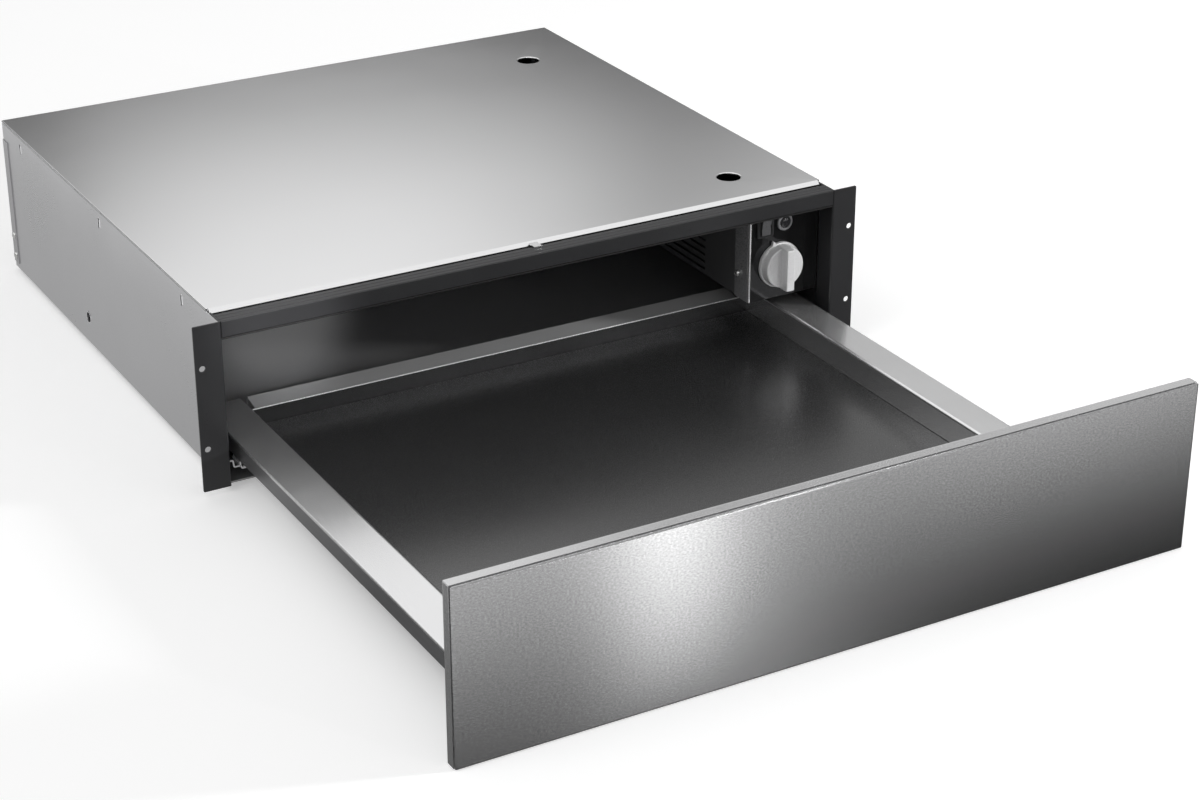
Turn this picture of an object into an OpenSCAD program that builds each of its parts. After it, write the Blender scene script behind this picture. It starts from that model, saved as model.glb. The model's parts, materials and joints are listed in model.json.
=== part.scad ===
/* [Casing] */
// Width of the casing over its side walls
case_w = 548.8; // [500:1:600]
// Height of the casing from its underside to its top
case_h = 138.3; // [130:1:180]
// Depth of the casing from the front flange plane to its rear panel
case_d = 507.2; // [480:1:560]
// Thickness of the casing sheets
sheet_t = 0.9; // [0.6:0.1:1.4]
// Distance from the flange plane back to the front edge of the top cover
top_setback = 22.2; // [18:0.1:30]
// Depth of the fold along the front edge of the top cover
top_fold = 4.2; // [2:0.1:6]
// Depth of the folds that hold the top cover inside the side walls
top_return = 9; // [6:0.5:14]
// Width of the small hook tab at the middle of the top cover's front edge
hook_w = 7; // [4:0.5:12]
// Reach of the hook tab over the front rail
hook_reach = 11; // [6:0.5:14]
// Diameter of the two round ports in the top cover
port_d = 20; // [12:1:26]
// Distance of the ports from the middle of the casing
port_x = 212; // [150:1:225]
// Distance of the front port behind the flange plane
port_front = 68; // [45:1:120]
// Distance of the rear port behind the flange plane
port_rear = 425; // [300:1:460]
// Height of the upturned edges of the base pan
pan_upturn = 9; // [6:0.5:10]
// Distance from the flange plane back to the front edge of the base pan
pan_setback = 6; // [2:0.5:14]
// Depth of the rear panel's flanges over the side walls
rear_flange = 13; // [8:0.5:20]
// Gap from the rear panel's flanges to the top of the casing
rear_flange_drop = 17; // [8:0.5:30]
// Gap from the rear panel's flanges to the underside of the casing
rear_flange_lift = 5.3; // [2:0.1:12]

/* [Side wall openings] */
// Height of the hook slots in the side walls
slot_h = 8.5; // [5:0.5:12]
// Width of the hook slots in the side walls
slot_w = 2.6; // [1.5:0.1:4]
// Distance from the casing's top down to the middle of the hook slots
slot_drop = 11.7; // [10:0.1:20]
// Diameter of the round hole low on each side wall
side_hole_d = 8.6; // [5:0.1:12]
// Height of the round side hole above the underside
side_hole_z = 24.3; // [23:0.1:32]
// Distance of the round side hole behind the flange plane
side_hole_y = 306.5; // [200:0.5:400]
// Width of the pressed rim round the side hole
side_rim = 1.3; // [0.6:0.1:3]

/* [Front frame] */
// Reach of each screw flange beyond the casing's side wall
flange_reach = 20.6; // [12:0.1:40]
// Thickness of the front frame's steel
frame_t = 1.2; // [0.8:0.1:2]
// Depth of the returns that run back from the flanges into the casing
return_depth = 20; // [12:0.5:24]
// Drop of the rail and flanges below the top of the casing
frame_drop = 1.3; // [0.5:0.1:3]
// Gap from the flanges' lower ends to the underside of the casing
frame_lift = 0.7; // [0.2:0.1:3]
// Depth of the top rail from front to back
rail_depth = 16.5; // [12:0.5:17]
// Height of the top rail's front face
rail_h = 12.6; // [9:0.1:16]
// Height of the two fine ridges along the top rail
ridge_h = 0.35; // [0.2:0.05:0.8]
// Width of each ridge
ridge_w = 1; // [0.6:0.1:2]
// Height of the seal strip below the top rail
seal_h = 2.1; // [1:0.1:4]
// Depth of the seal strip
seal_depth = 8; // [5:0.5:12]
// Gap between the rail's front face and the seal strip's lip
seal_slot = 0.6; // [0.3:0.1:1]
// Radius of the flanges' outer corners
flange_corner = 3; // [1:0.5:6]
// Diameter of the screw holes in the flanges
flange_hole_d = 5; // [3.5:0.1:7]
// Distance of the screw holes in from the flange's outer edge
flange_hole_in = 5.7; // [4:0.1:8]
// Height of the lower screw holes above the underside
flange_hole_z = 35.6; // [20:0.1:50]
// Distance between the two screw holes of a flange
flange_hole_gap = 66.7; // [40:0.1:80]

/* [Heater duct] */
// Distance from the middle of the casing to the duct's inner wall
duct_x = 204; // [190:1:215]
// Height of the duct's underside above the casing's underside
duct_z = 42.3; // [38:0.1:50]
// Gap between the duct's rear end and the rear panel
duct_rear_gap = 26.5; // [15:0.5:90]
// Width of the flange that holds the duct under the top cover
duct_flange = 12; // [8:0.5:20]
// Number of louvre slots in the duct wall
louvre_count = 10; // [4:1:12]
// Distance between two louvre slots
louvre_pitch = 6.53; // [5:0.01:7]
// Height of a louvre slot
louvre_h = 2.8; // [1.5:0.1:4]
// Length of a louvre slot
louvre_len = 116; // [60:1:150]
// Distance from the lowest louvre slot's middle down to the duct's underside
louvre_lift = 6; // [4:0.1:10]
// Distance from the flange plane to the front end of the louvre slots
louvre_y = 90; // [70:1:130]
// Depth of the bracket that joins the duct wall to the control plate
bracket_d = 19.7; // [12:0.1:30]
// Thickness of the bracket
bracket_t = 0.7; // [0.5:0.1:1.2]
// Diameter of the bracket's screw head
bracket_screw_d = 6.2; // [4:0.1:8]
// Height of the bracket's screw above the duct's underside
bracket_screw_z = 22.4; // [10:0.1:40]

/* [Controls] */
// Thickness of the control plate
plate_t = 1; // [0.8:0.1:2]
// Gap between the duct wall's outer face and the plate's left edge
plate_gap = 0.9; // [0.3:0.1:2]
// Distance of the knob's axis from the middle of the casing
knob_x = 233; // [230:0.1:240]
// Height of the knob's axis above the underside
knob_z = 72.3; // [70:0.1:80]
// Diameter of the knob's skirt
knob_skirt_d = 40; // [34:0.5:44]
// Thickness of the knob's skirt
knob_skirt_t = 3; // [2:0.1:4]
// Diameter of the knob's body
knob_body_d = 37; // [30:0.5:40]
// Depth of the knob's body in front of its skirt
knob_body_l = 7.7; // [4:0.1:9]
// Depth of the grip bar in front of the knob's body
grip_l = 8.8; // [4:0.1:9]
// Width of the grip bar
grip_w = 8; // [5:0.1:12]
// Length of the grip bar
grip_len = 38; // [24:0.5:42]
// Reach of the pointer lug beyond the knob's skirt
pointer_reach = 3.2; // [1:0.1:5]
// Turn of the pointer lug from straight up, in degrees
pointer_turn = 18; // [-30:1:30]
// Diameter of the thermostat's shaft
shaft_d = 6; // [4:0.1:8]
// Width of the thermostat's body
thermo_w = 30; // [20:0.5:32]
// Depth of the thermostat's body
thermo_l = 26; // [15:0.5:40]
// Distance of the rocker switch's middle from the middle of the casing
switch_x = 218.6; // [217:0.1:220]
// Height of the rocker switch's middle above the underside
switch_z = 109.3; // [105:0.1:116]
// Width of the rocker switch's frame
switch_w = 16.4; // [14:0.1:18]
// Height of the rocker switch's frame
switch_h = 21; // [18:0.5:24]
// Width of the rocker itself
rocker_w = 9; // [7:0.1:10]
// Height of the rocker itself
rocker_h = 15.6; // [12:0.1:17]
// Distance that the rocker stands out of the control plate
rocker_out = 4; // [2.5:0.1:5]
// Tilt of the rocker either way, in degrees
rocker_tilt = 7; // [4:1:9]
// Distance of the pilot lamp from the middle of the casing
lamp_x = 238; // [236:0.1:242]
// Height of the pilot lamp above the underside
lamp_z = 109; // [105:0.1:116]
// Diameter of the pilot lamp's ring
lamp_d = 15; // [12:0.5:18]
// Diameter of the pilot lamp's lens
lens_d = 10; // [6:0.1:11]

/* [Fan and heater] */
// Distance of the fan's axis behind the flange plane
fan_y = 148; // [130:1:200]
// Side of the square fan frame
fan_side = 80; // [60:1:84]
// Thickness of the fan frame
fan_t = 25; // [15:1:30]
// Diameter of the fan's hub
hub_d = 30; // [20:1:36]
// Number of fan blades
blade_count = 7; // [5:1:9]
// Gap between the blade tips and the fan frame's ring
blade_gap = 1.5; // [1:0.1:3]
// Diameter of the ring heater's tube
heater_tube_d = 6.4; // [5:0.1:8]
// Radius of the ring heater at the middle of its tube
heater_r = 30; // [20:0.5:32]
// Diameter of the motor behind the fan
motor_d = 38; // [24:1:40]
// Length of the motor behind the fan frame
motor_l = 16; // [8:0.5:18]

/* [Mains connection] */
// Width of the terminal block
terminal_w = 46; // [30:1:60]
// Height of the terminal block
terminal_h = 20; // [14:1:30]
// Diameter of the cable gland's bore
gland_bore_d = 8; // [6:0.5:10]
// Diameter of the cable gland's collar
gland_d = 20; // [16:0.5:26]
// Distance that the cable gland stands out behind the rear panel
gland_out = 5; // [3:0.5:8]
// Distance of the cable gland from the middle of the casing
gland_x = 238; // [222:1:250]

/* [Drawer front] */
// Width of the drawer front
front_w = 594; // [560:1:640]
// Height of the drawer front
front_h = 133.3; // [125:0.1:180]
// Thickness of the whole drawer front
front_t = 11; // [10:0.5:20]
// Drop of the drawer front's lower edge below the casing's underside
front_drop = 4.5; // [0:0.1:8]
// Thickness of the front's face sheet
face_t = 1.2; // [0.8:0.1:2]
// Width of the bevel round the face sheet
face_bevel = 0.6; // [0.3:0.1:0.8]
// Depth of the seam groove between face sheet and front frame
seam_depth = 0.5; // [0.2:0.1:1.5]
// Width of the seam groove between face sheet and front frame
seam_w = 0.5; // [0.3:0.1:1]
// Wall of the hollow front frame
front_wall = 2; // [1.5:0.1:4]
// Diameter of the rubber buffers behind the front
buffer_d = 9; // [6:0.5:10]
// Gap between the closed drawer front and the front frame
closed_gap = 3.4; // [2.5:0.1:6]

/* [Drawer] */
// Travel of the drawer from fully open to closed
travel = 412; // [400:1:420]
// Distance between the inner faces of the tray's two side walls
tray_w = 463; // [455:1:470]
// Length of the tray behind the drawer front, down to the tray's rear wall
tray_len = 483; // [440:1:485]
// Thickness of the drawer's sheets
tray_t = 0.8; // [0.6:0.1:1.2]
// Height of the tray floor's underside above the casing's underside
tray_z = 10; // [9.5:0.1:12]
// Height of the side walls above the tray floor's underside
tray_side_h = 24.9; // [24:0.1:30]
// Height of the tray's rear wall above the tray floor's underside
tray_rear_h = 16; // [12:0.1:20]
// Width of the side covers' top over the runners
side_top_w = 32; // [30:0.1:33]
// Fall of the side covers' top towards the outside
side_fall = 1.8; // [0.5:0.1:2.2]
// Height of the lip along the side covers' outer edge
side_lip = 2.2; // [1.5:0.1:4]
// Length by which the side covers end before the rear wall
side_rear_extra = 6.5; // [2:0.5:10]
// Depth of the cross rail behind the tray
cross_depth = 18.5; // [12:0.5:19]
// Rise of the cross rail's top towards the rear
cross_rise = 3; // [1:0.1:4]
// Thickness of the mat
mat_t = 1.5; // [1:0.1:3]
// Gap between the mat and the tray's walls
mat_gap = 0.5; // [0.3:0.1:1.5]

/* [Runners] */
// Thickness of the runner members
runner_t = 1.2; // [1:0.1:1.5]
// Width of the drawer member
runner_w = 20.8; // [20:0.1:21]
// Height of the drawer member
runner_h = 14.2; // [13:0.1:15]
// Gap between two runner members, in which the balls roll
ball_gap = 3.1; // [2.8:0.1:3.3]
// Play of a ball on each side
ball_play = 0.3; // [0.2:0.05:0.4]
// Length of each runner member
runner_len = 478; // [440:1:480]
// Distance from the flange plane to the front end of the fixed member
runner_setback = 8; // [6:0.5:12]
// Height of the middle member's lower edge above the tray floor's underside
middle_lift = 1; // [0.6:0.1:1.6]
// Length of a ball cage
cage_len = 240; // [160:1:250]
// Thickness of a ball cage
cage_t = 0.8; // [0.5:0.1:1]
// Number of balls in one row of a cage
ball_count = 8; // [4:1:12]

/* [Touch latch] */
// Width of the touch latch's housing
latch_w = 30; // [20:1:40]
// Length of the touch latch's housing
latch_len = 22; // [18:0.5:24]
// Height of the touch latch's housing
latch_h = 7.6; // [6:0.1:8]
// Diameter of the touch latch's plunger
plunger_d = 4.6; // [3:0.1:5]
// Length of the plunger in front of the housing
plunger_out = 8; // [6:0.5:10]
// Width of the strike plate under the tray
strike_w = 26; // [16:1:36]
// Thickness of the strike plate
strike_t = 2; // [1:0.1:3]

/* [Screws] */
// Diameter of the casing screws' heads
screw_d = 6.4; // [4:0.1:8]
// Height of the casing screws' heads
screw_h = 1.4; // [0.8:0.1:2.5]

/* [Hidden] */

// Overrun of every cutting shape
cut = 1;
// Smallest gap between two pieces that move against each other
move_gap = 0.3;
// Gap between two pieces that are laid together without being joined
lay_gap = 0.1;
// Fineness of round shapes
$fn = 48;

// Planes of the casing: the origin is at the middle of its underside, and the
// hook slots of the side walls sit at shares of its depth
front_y = -case_d / 2;
rear_y = case_d / 2;
panel_y = rear_y - sheet_t - lay_gap;
case_half = case_w / 2;
inner_half = case_half - sheet_t;
cover_under = case_h - sheet_t;
slot_shares = [0.149, 0.509, 0.903];
rear_screws = [rear_flange_lift + screw_d, rear_flange_lift + 4 * screw_d];
rear_screw_y = rear_y - rear_flange / 2;

// Front frame: rail, flanges and seal
frame_w = case_w + 2 * flange_reach;
frame_top = case_h - frame_drop;
return_x = inner_half - lay_gap;
return_back = front_y + return_depth + lay_gap;
rail_half = return_x - frame_t - lay_gap;
rail_under = frame_top - rail_h;
seal_under = rail_under - seal_h;
hole_x = frame_w / 2 - flange_hole_in;

// Heater duct and control plate
plate_y = front_y + return_depth + frame_t / 2;
duct_y = plate_y + plate_t + lay_gap;
duct_top = cover_under - lay_gap;
duct_right = return_x - sheet_t - lay_gap;
fold_under = case_h - top_fold - lay_gap;
fold_back = front_y + top_setback + sheet_t + lay_gap;
plate_left = duct_x + plate_gap;
plate_top = duct_top - lay_gap;
duct_end = panel_y - duct_rear_gap;
bracket_screw_share = 2 / 3;
bracket_screw_y = duct_y + bracket_d * bracket_screw_share;
bracket_screw_h = duct_z + bracket_screw_z;

// Knob, from the plate forward
knob_back = plate_y - move_gap;
knob_skirt_y = knob_back - knob_skirt_t;
knob_body_y = knob_skirt_y - knob_body_l;
grip_y = knob_body_y - grip_l;
knob_roof = 1.5;
shaft_front = knob_body_y + knob_roof;
shaft_play = 0.1;
shaft_hole_gap = 1;
pointer_w = 5;

// Rocker switch and pilot lamp
switch_rim = 2;
switch_body_l = 20;
switch_pocket = 9;
rocker_play = 0.35;
rocker_root = 6;
rocker_dip = 1.2;
rocker_pivot_y = plate_y + rocker_dip;
lamp_rim = 1.8;
lamp_body_l = 14;
lens_rim = 0.6;

// Fan, motor and heater, on one axis across the duct
fan_z = (duct_z + cover_under) / 2;
duct_clear = 1;
heater_x = duct_x + sheet_t + duct_clear + heater_tube_d;
fan_x = heater_x + heater_tube_d;
fan_ring_t = 2;
fan_bore_d = fan_side - 2 * fan_ring_t;
blade_len = fan_bore_d / 2 - blade_gap;
blade_t = 1.6;
blade_pitch_angle = 35;
blade_width_share = 0.42;
hub_l = fan_t - 6 * move_gap;
fan_shaft_d = 4;
motor_x = fan_x + fan_t;
arm_w = 6;
arm_t = 2;
heater_gap_angle = 24;
heater_lead_l = 46;
cold_end_extra = 1.6;
heater_lead_d = heater_tube_d + cold_end_extra;
lead_z = heater_r * sin(heater_gap_angle / 2);
lead_y = heater_r * cos(heater_gap_angle / 2);
clip_t = 1.2;
clip_w = 14;
cutout_d = 16;
cutout_h = 7;
cutout_y = front_y + fan_y + fan_side;
cutout_ear = 3;

// Mains connection
terminal_t = 14;
terminal_gap_y = 24;
terminal_x = duct_right - sheet_t - terminal_h;
terminal_y = duct_end - terminal_w - terminal_gap_y;
terminal_ways = 3;
terminal_hole_d = 4.2;
gland_z = (duct_z + case_h) / 2;
gland_flange_t = 2;
gland_in = 9;

// Drawer front
front_back_y = front_y - closed_gap - travel;
front_face_y = front_back_y - front_t;
front_z = -front_drop;
back_t = 1;
buffer_t = closed_gap - lay_gap;
buffer_in = 24;

// Drawer tray
tray_front_y = front_back_y + tray_t;
tray_rear_y = front_back_y + tray_len;
tray_half = tray_w / 2;
tray_floor = tray_z + tray_t;
side_top_z = tray_z + tray_side_h;
side_out = tray_half + side_top_w;
side_out_z = side_top_z - side_fall;
side_rear_y = tray_rear_y + side_rear_extra;
cross_y = tray_rear_y + tray_t;
cross_gap = 9;
cross_half = tray_half - cross_gap;
cross_low = tray_z + tray_rear_h;
front_screw_z = (tray_floor + mat_t + side_top_z) / 2;
front_screw_shares = [-0.8, -0.4, 0, 0.4, 0.8];

// Runners: widths counted outward from the middle of the runner
runner_x = side_out - tray_t - lay_gap - runner_w / 2;
runner_seat = 0.9;
runner_top = side_out_z - tray_t - runner_seat;
drawer_half = runner_w / 2;
middle_half = drawer_half - runner_t - ball_gap;
fixed_half = middle_half - runner_t - ball_gap;
runner_under = runner_top - runner_h;
middle_top = runner_top - runner_t - ball_gap;
fixed_top = middle_top - runner_t - ball_gap;
middle_under = tray_z + middle_lift;
wing_play = 1.1;
wing_top = middle_under - wing_play;
wing_rise_x = 4.8;
hook_rise = 7.9;
hook_tab = 8;
wing_out = inner_half - lay_gap;
middle_lead = 4;
middle_y = front_back_y + travel / 2 + middle_lead;
ball_d = ball_gap - 2 * ball_play;
cage_drop = 9.4;
ball_drop = 5.2;
cage_lead = 8;
inner_cage_y = front_y + runner_setback + cage_lead;
outer_cage_y = middle_y + cage_lead;
cage_end = 6;

// Touch latch, behind the strike plate of the closed tray
strike_in = 8;
strike_back = tray_rear_y - strike_in;
strike_drop = 7;
plunger_gap = 0.5;
latch_front = strike_back + travel + plunger_gap + plunger_out;
latch_play = 0.15;
latch_axis = sheet_t + latch_h / 2;
latch_floor = 3;
plunger_in = 9;

// Bends the leg of a folded runner section, seen from the front
module folded_u(half, low, high, t) {
    difference() {
        translate([-half, low]) square([2 * half, high - low]);
        translate([-half + t, low - cut]) square([2 * (half - t), high - low - t + cut]);
    }
}

// Stretches a section drawn in X and Z along Y
module along_y(y, len) {
    translate([0, y + len, 0]) rotate([90, 0, 0]) linear_extrude(len) children();
}

// Stretches a section drawn in Y and Z along X
module along_x(x, len) {
    translate([x, 0, 0]) rotate([90, 0, 90]) linear_extrude(len) children();
}

// A round bar along X, Y or Z from a point
module bar_x(x, y, z, d, len) {
    translate([x, y, z]) rotate([0, 90, 0]) cylinder(h = len, d = d);
}
module bar_y(x, y, z, d, len) {
    translate([x, y, z]) rotate([-90, 0, 0]) cylinder(h = len, d = d);
}

// A box between two corners
module box(low, high) {
    translate(low) cube(high - low);
}

// One pan-head screw with its head at x and its shank pointing inwards along X
module wall_screw(x, y, z, d, h, shank) {
    side = sign(x);
    union() {
        bar_x(min(x, x + side * h), y, z, d, h);
        bar_x(min(x, x - side * shank), y, z, d / 2, shank);
    }
}

module top_cover() {
    color("lightgray") difference() {
        union() {
            box([-case_half, front_y + top_setback, cover_under], [case_half, rear_y, case_h]);
            box([-return_x, front_y + top_setback, case_h - top_fold],
                [return_x, front_y + top_setback + sheet_t, case_h]);
            for (side = [0, 1]) mirror([side, 0, 0])
                box([return_x - sheet_t, front_y + top_setback, cover_under - top_return],
                    [return_x, panel_y, case_h]);
            box([-hook_w / 2, front_y + top_setback - hook_reach, frame_top + ridge_h + lay_gap],
                [hook_w / 2, front_y + top_setback + sheet_t, case_h]);
        }
        for (y = [port_front, port_rear])
            translate([port_x, front_y + y, cover_under - cut]) cylinder(h = sheet_t + 2 * cut, d = port_d);
        for (side = [0, 1]) mirror([side, 0, 0])
            box([return_x - frame_t - cut, front_y, cover_under - top_return - cut],
                [case_half + cut, return_back, cover_under]);
    }
}

// The left side wall, with the outside at low X; the right one is its mirror image
module side_wall() {
    side_rim_d = side_hole_d + 2 * side_rim;
    slot_low = case_h - slot_drop - slot_h / 2;
    difference() {
        union() {
            box([-case_half, front_y + frame_t + lay_gap, 0], [-inner_half, panel_y, cover_under]);
            bar_x(-case_half - lay_gap, front_y + side_hole_y, side_hole_z, side_rim_d, sheet_t);
        }
        bar_x(-case_half - cut, front_y + side_hole_y, side_hole_z, side_hole_d, sheet_t + 2 * cut);
        for (share = slot_shares)
            translate([-case_half - cut, front_y + case_d * share - slot_w / 2, slot_low])
                cube([sheet_t + 2 * cut, slot_w, slot_h]);
        for (z = rear_screws) bar_x(-case_half - cut, rear_screw_y, z, screw_d / 2, sheet_t + 2 * cut);
    }
}
module side_wall_left() {
    color("silver") side_wall();
}
module side_wall_right() {
    color("silver") mirror([1, 0, 0]) side_wall();
}

module base_pan() {
    pan_half = inner_half - lay_gap;
    color("dimgray") union() {
        box([-rail_half, front_y + pan_setback, 0], [rail_half, panel_y, sheet_t]);
        for (side = [0, 1]) mirror([side, 0, 0]) {
            box([-pan_half, return_back, 0], [-pan_half + 2 * frame_t, panel_y, sheet_t]);
            box([-pan_half, return_back, 0], [-pan_half + sheet_t, panel_y, pan_upturn]);
        }
        box([-pan_half, panel_y - sheet_t, 0], [pan_half, panel_y, pan_upturn]);
    }
}

module rear_panel() {
    color("darkgray") difference() {
        union() {
            box([-case_half - sheet_t, rear_y - sheet_t, 0], [case_half + sheet_t, rear_y, cover_under]);
            for (side = [0, 1]) mirror([side, 0, 0])
                box([-case_half - sheet_t, rear_y - rear_flange, 0], [-case_half, rear_y, cover_under]);
        }
        for (side = [0, 1]) mirror([side, 0, 0]) {
            box([-case_half - sheet_t - cut, rear_y - rear_flange - cut, case_h - rear_flange_drop],
                [-case_half, rear_y + cut, case_h]);
            box([-case_half - sheet_t - cut, rear_y - rear_flange - cut, -cut],
                [-case_half, rear_y + cut, rear_flange_lift]);
        }
        bar_y(gland_x, rear_y - sheet_t - cut, gland_z, gland_bore_d + 2 * gland_flange_t, sheet_t + 2 * cut);
        for (side = [0, 1], z = rear_screws) mirror([side, 0, 0])
            bar_x(-case_half - sheet_t - cut, rear_screw_y, z, screw_d / 2, sheet_t + 2 * cut);
    }
}

module front_rail() {
    color("#2c2c2e") difference() {
        union() {
            box([-rail_half, front_y, rail_under], [rail_half, front_y + rail_depth, frame_top]);
            for (share = [1 / 3, 2 / 3])
                box([-rail_half, front_y + rail_depth * share - ridge_w / 2, frame_top - frame_t],
                    [rail_half, front_y + rail_depth * share + ridge_w / 2, frame_top + ridge_h]);
        }
        box([-rail_half - cut, front_y + frame_t, rail_under - cut],
            [rail_half + cut, front_y + rail_depth - frame_t, frame_top - frame_t]);
    }
}

module rail_seal() {
    color("#151515") difference() {
        box([-rail_half, front_y, seal_under], [rail_half, front_y + seal_depth, rail_under + rail_h / 3]);
        box([-rail_half - cut, front_y - cut, rail_under - seal_slot],
            [rail_half + cut, front_y + frame_t + lay_gap, frame_top]);
    }
}

// The left screw flange with its return into the casing; the right one is its mirror image
module flange() {
    flange_w = frame_w / 2 - return_x + frame_t;
    flange_h = frame_top - frame_lift;
    difference() {
        union() {
            translate([-frame_w / 2, 0, frame_lift]) along_y(front_y, frame_t) union() {
                translate([flange_corner, 0]) square([flange_w - flange_corner, flange_h]);
                translate([0, flange_corner]) square([flange_w, flange_h - 2 * flange_corner]);
                for (z = [flange_corner, flange_h - flange_corner])
                    translate([flange_corner, z]) circle(r = flange_corner);
            }
            box([-return_x, front_y, frame_lift], [-return_x + frame_t, front_y + return_depth, frame_top]);
        }
        for (z = [flange_hole_z, flange_hole_z + flange_hole_gap])
            bar_y(-hole_x, front_y - cut, z, flange_hole_d, frame_t + 2 * cut);
    }
}
module flange_left() {
    color("#333335") flange();
}
module flange_right() {
    color("#333335") mirror([1, 0, 0]) flange();
}

// Screws of the rear panel's flanges, two on each side
module casing_screws() {
    color("gainsboro") for (side = [0, 1], z = rear_screws) mirror([side, 0, 0])
        wall_screw(-case_half - sheet_t, rear_screw_y, z, screw_d, screw_h, 3 * sheet_t);
}

module duct_housing() {
    color("#4a4a4c") difference() {
        union() {
            box([duct_x, duct_y, duct_z], [duct_x + sheet_t, duct_end, duct_top]);
            box([duct_x, duct_y, duct_z], [duct_right, duct_end, duct_z + sheet_t]);
            box([duct_x, duct_end - sheet_t, duct_z], [duct_right, duct_end, duct_top]);
            box([duct_x, duct_y, duct_top - sheet_t], [duct_x + duct_flange, duct_end, duct_top]);
            box([duct_right - sheet_t, duct_y, duct_z], [duct_right, duct_end, duct_z + duct_flange]);
        }
        for (i = [0 : louvre_count - 1])
            box([duct_x - cut, front_y + louvre_y, duct_z + louvre_lift + i * louvre_pitch - louvre_h / 2],
                [duct_x + sheet_t + cut, front_y + louvre_y + louvre_len,
                 duct_z + louvre_lift + i * louvre_pitch + louvre_h / 2]);
        translate([port_x, front_y + port_front, duct_top - sheet_t - cut])
            cylinder(h = sheet_t + 2 * cut, d = port_d + 2 * cut);
        translate([port_x, front_y + port_rear, duct_top - sheet_t - cut])
            cylinder(h = sheet_t + 2 * cut, d = port_d + 2 * cut);
        bar_x(duct_x - cut, bracket_screw_y, bracket_screw_h, bracket_screw_d / 2, sheet_t + 2 * cut);
        box([duct_x - cut, duct_y - cut, fold_under], [duct_right + cut, fold_back, case_h]);
    }
}

module duct_bracket() {
    color("#5a5a5c") difference() {
        box([duct_x - bracket_t, duct_y, duct_z], [duct_x, duct_y + bracket_d, duct_top]);
        bar_x(duct_x - bracket_t - cut, bracket_screw_y, bracket_screw_h, bracket_screw_d / 2,
            bracket_t + 2 * cut);
        box([duct_x - bracket_t - cut, duct_y - cut, fold_under], [duct_x + cut, fold_back, case_h]);
    }
}

module duct_screw() {
    head_h = bracket_screw_d / 4;
    color("silver") union() {
        bar_x(duct_x - bracket_t - head_h, bracket_screw_y, bracket_screw_h, bracket_screw_d, head_h);
        bar_x(duct_x - bracket_t, bracket_screw_y, bracket_screw_h, bracket_screw_d / 2 - lay_gap,
            bracket_t + 3 * sheet_t);
    }
}

module control_plate() {
    hole_w = switch_w - 2 * switch_rim;
    hole_h = switch_h - 2 * switch_rim;
    color("#6b6b6e") difference() {
        box([plate_left, plate_y, duct_z], [rail_half, plate_y + plate_t, plate_top]);
        bar_y(knob_x, plate_y - cut, knob_z, shaft_d + 2 * shaft_hole_gap, plate_t + 2 * cut);
        translate([switch_x - hole_w / 2, plate_y - cut, switch_z - hole_h / 2])
            cube([hole_w, plate_t + 2 * cut, hole_h]);
        bar_y(lamp_x, plate_y - cut, lamp_z, lamp_d - 2 * lamp_rim, plate_t + 2 * cut);
        box([return_x - frame_t - cut, plate_y - cut, cover_under - top_return - cut],
            [return_x + cut, plate_y + plate_t + cut, plate_top + cut]);
    }
}

module thermostat() {
    body_y = plate_y + plate_t;
    color("#d8d4c8") difference() {
        box([knob_x - thermo_w / 2, body_y, knob_z - thermo_w / 2],
            [knob_x + thermo_w / 2, body_y + thermo_l, knob_z + thermo_w / 2]);
        bar_y(knob_x, body_y - cut, knob_z, shaft_d + 2 * shaft_play, thermo_l / 2 + cut);
    }
}

module thermostat_shaft() {
    shaft_end = plate_y + plate_t + thermo_l / 2 - move_gap;
    color("silver") bar_y(knob_x, shaft_front, knob_z, shaft_d, shaft_end - shaft_front);
}

module knob() {
    color("gainsboro") difference() {
        union() {
            bar_y(knob_x, knob_skirt_y, knob_z, knob_skirt_d, knob_skirt_t);
            bar_y(knob_x, knob_body_y, knob_z, knob_body_d, knob_body_l);
            box([knob_x - grip_w / 2, grip_y, knob_z - grip_len / 2],
                [knob_x + grip_w / 2, knob_skirt_y + knob_skirt_t / 2, knob_z + grip_len / 2]);
            translate([knob_x, 0, knob_z]) rotate([0, -pointer_turn, 0])
                along_y(knob_skirt_y + lay_gap, knob_skirt_t - 2 * lay_gap) polygon([
                    [-pointer_w / 2, knob_skirt_d / 4],
                    [pointer_w / 2, knob_skirt_d / 4],
                    [pointer_w / 2, knob_skirt_d / 2 - pointer_reach / 4],
                    [0, knob_skirt_d / 2 + pointer_reach],
                    [-pointer_w / 2, knob_skirt_d / 2 - pointer_reach / 4]]);
        }
        bar_y(knob_x, shaft_front, knob_z, shaft_d, knob_back - shaft_front + cut);
    }
}

module rocker_housing() {
    left = switch_x - switch_w / 2;
    low = switch_z - switch_h / 2;
    color("#3a3a3c") difference() {
        union() {
            translate([left, plate_y - switch_rim, low]) cube([switch_w, switch_rim, switch_h]);
            translate([left + switch_rim, plate_y - cut, low + switch_rim])
                cube([switch_w - 2 * switch_rim, switch_body_l + cut, switch_h - 2 * switch_rim]);
        }
        translate([switch_x - rocker_w / 2 - rocker_play, plate_y - switch_rim - cut,
            switch_z - rocker_h / 2 - rocker_play])
            cube([rocker_w + 2 * rocker_play, switch_rim + switch_pocket + cut, rocker_h + 2 * rocker_play]);
    }
}

module rocker() {
    half = rocker_h / 2 - rocker_play;
    color("#8c8c8e") translate([switch_x, rocker_pivot_y, switch_z]) rotate([rocker_tilt, 0, 0])
        along_x(-rocker_w / 2, rocker_w) polygon([
            [-rocker_out - rocker_dip, half],
            [-rocker_out, 0],
            [-rocker_out - rocker_dip, -half],
            [rocker_dip, -half],
            [rocker_root, 0],
            [rocker_dip, half]]);
}

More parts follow.
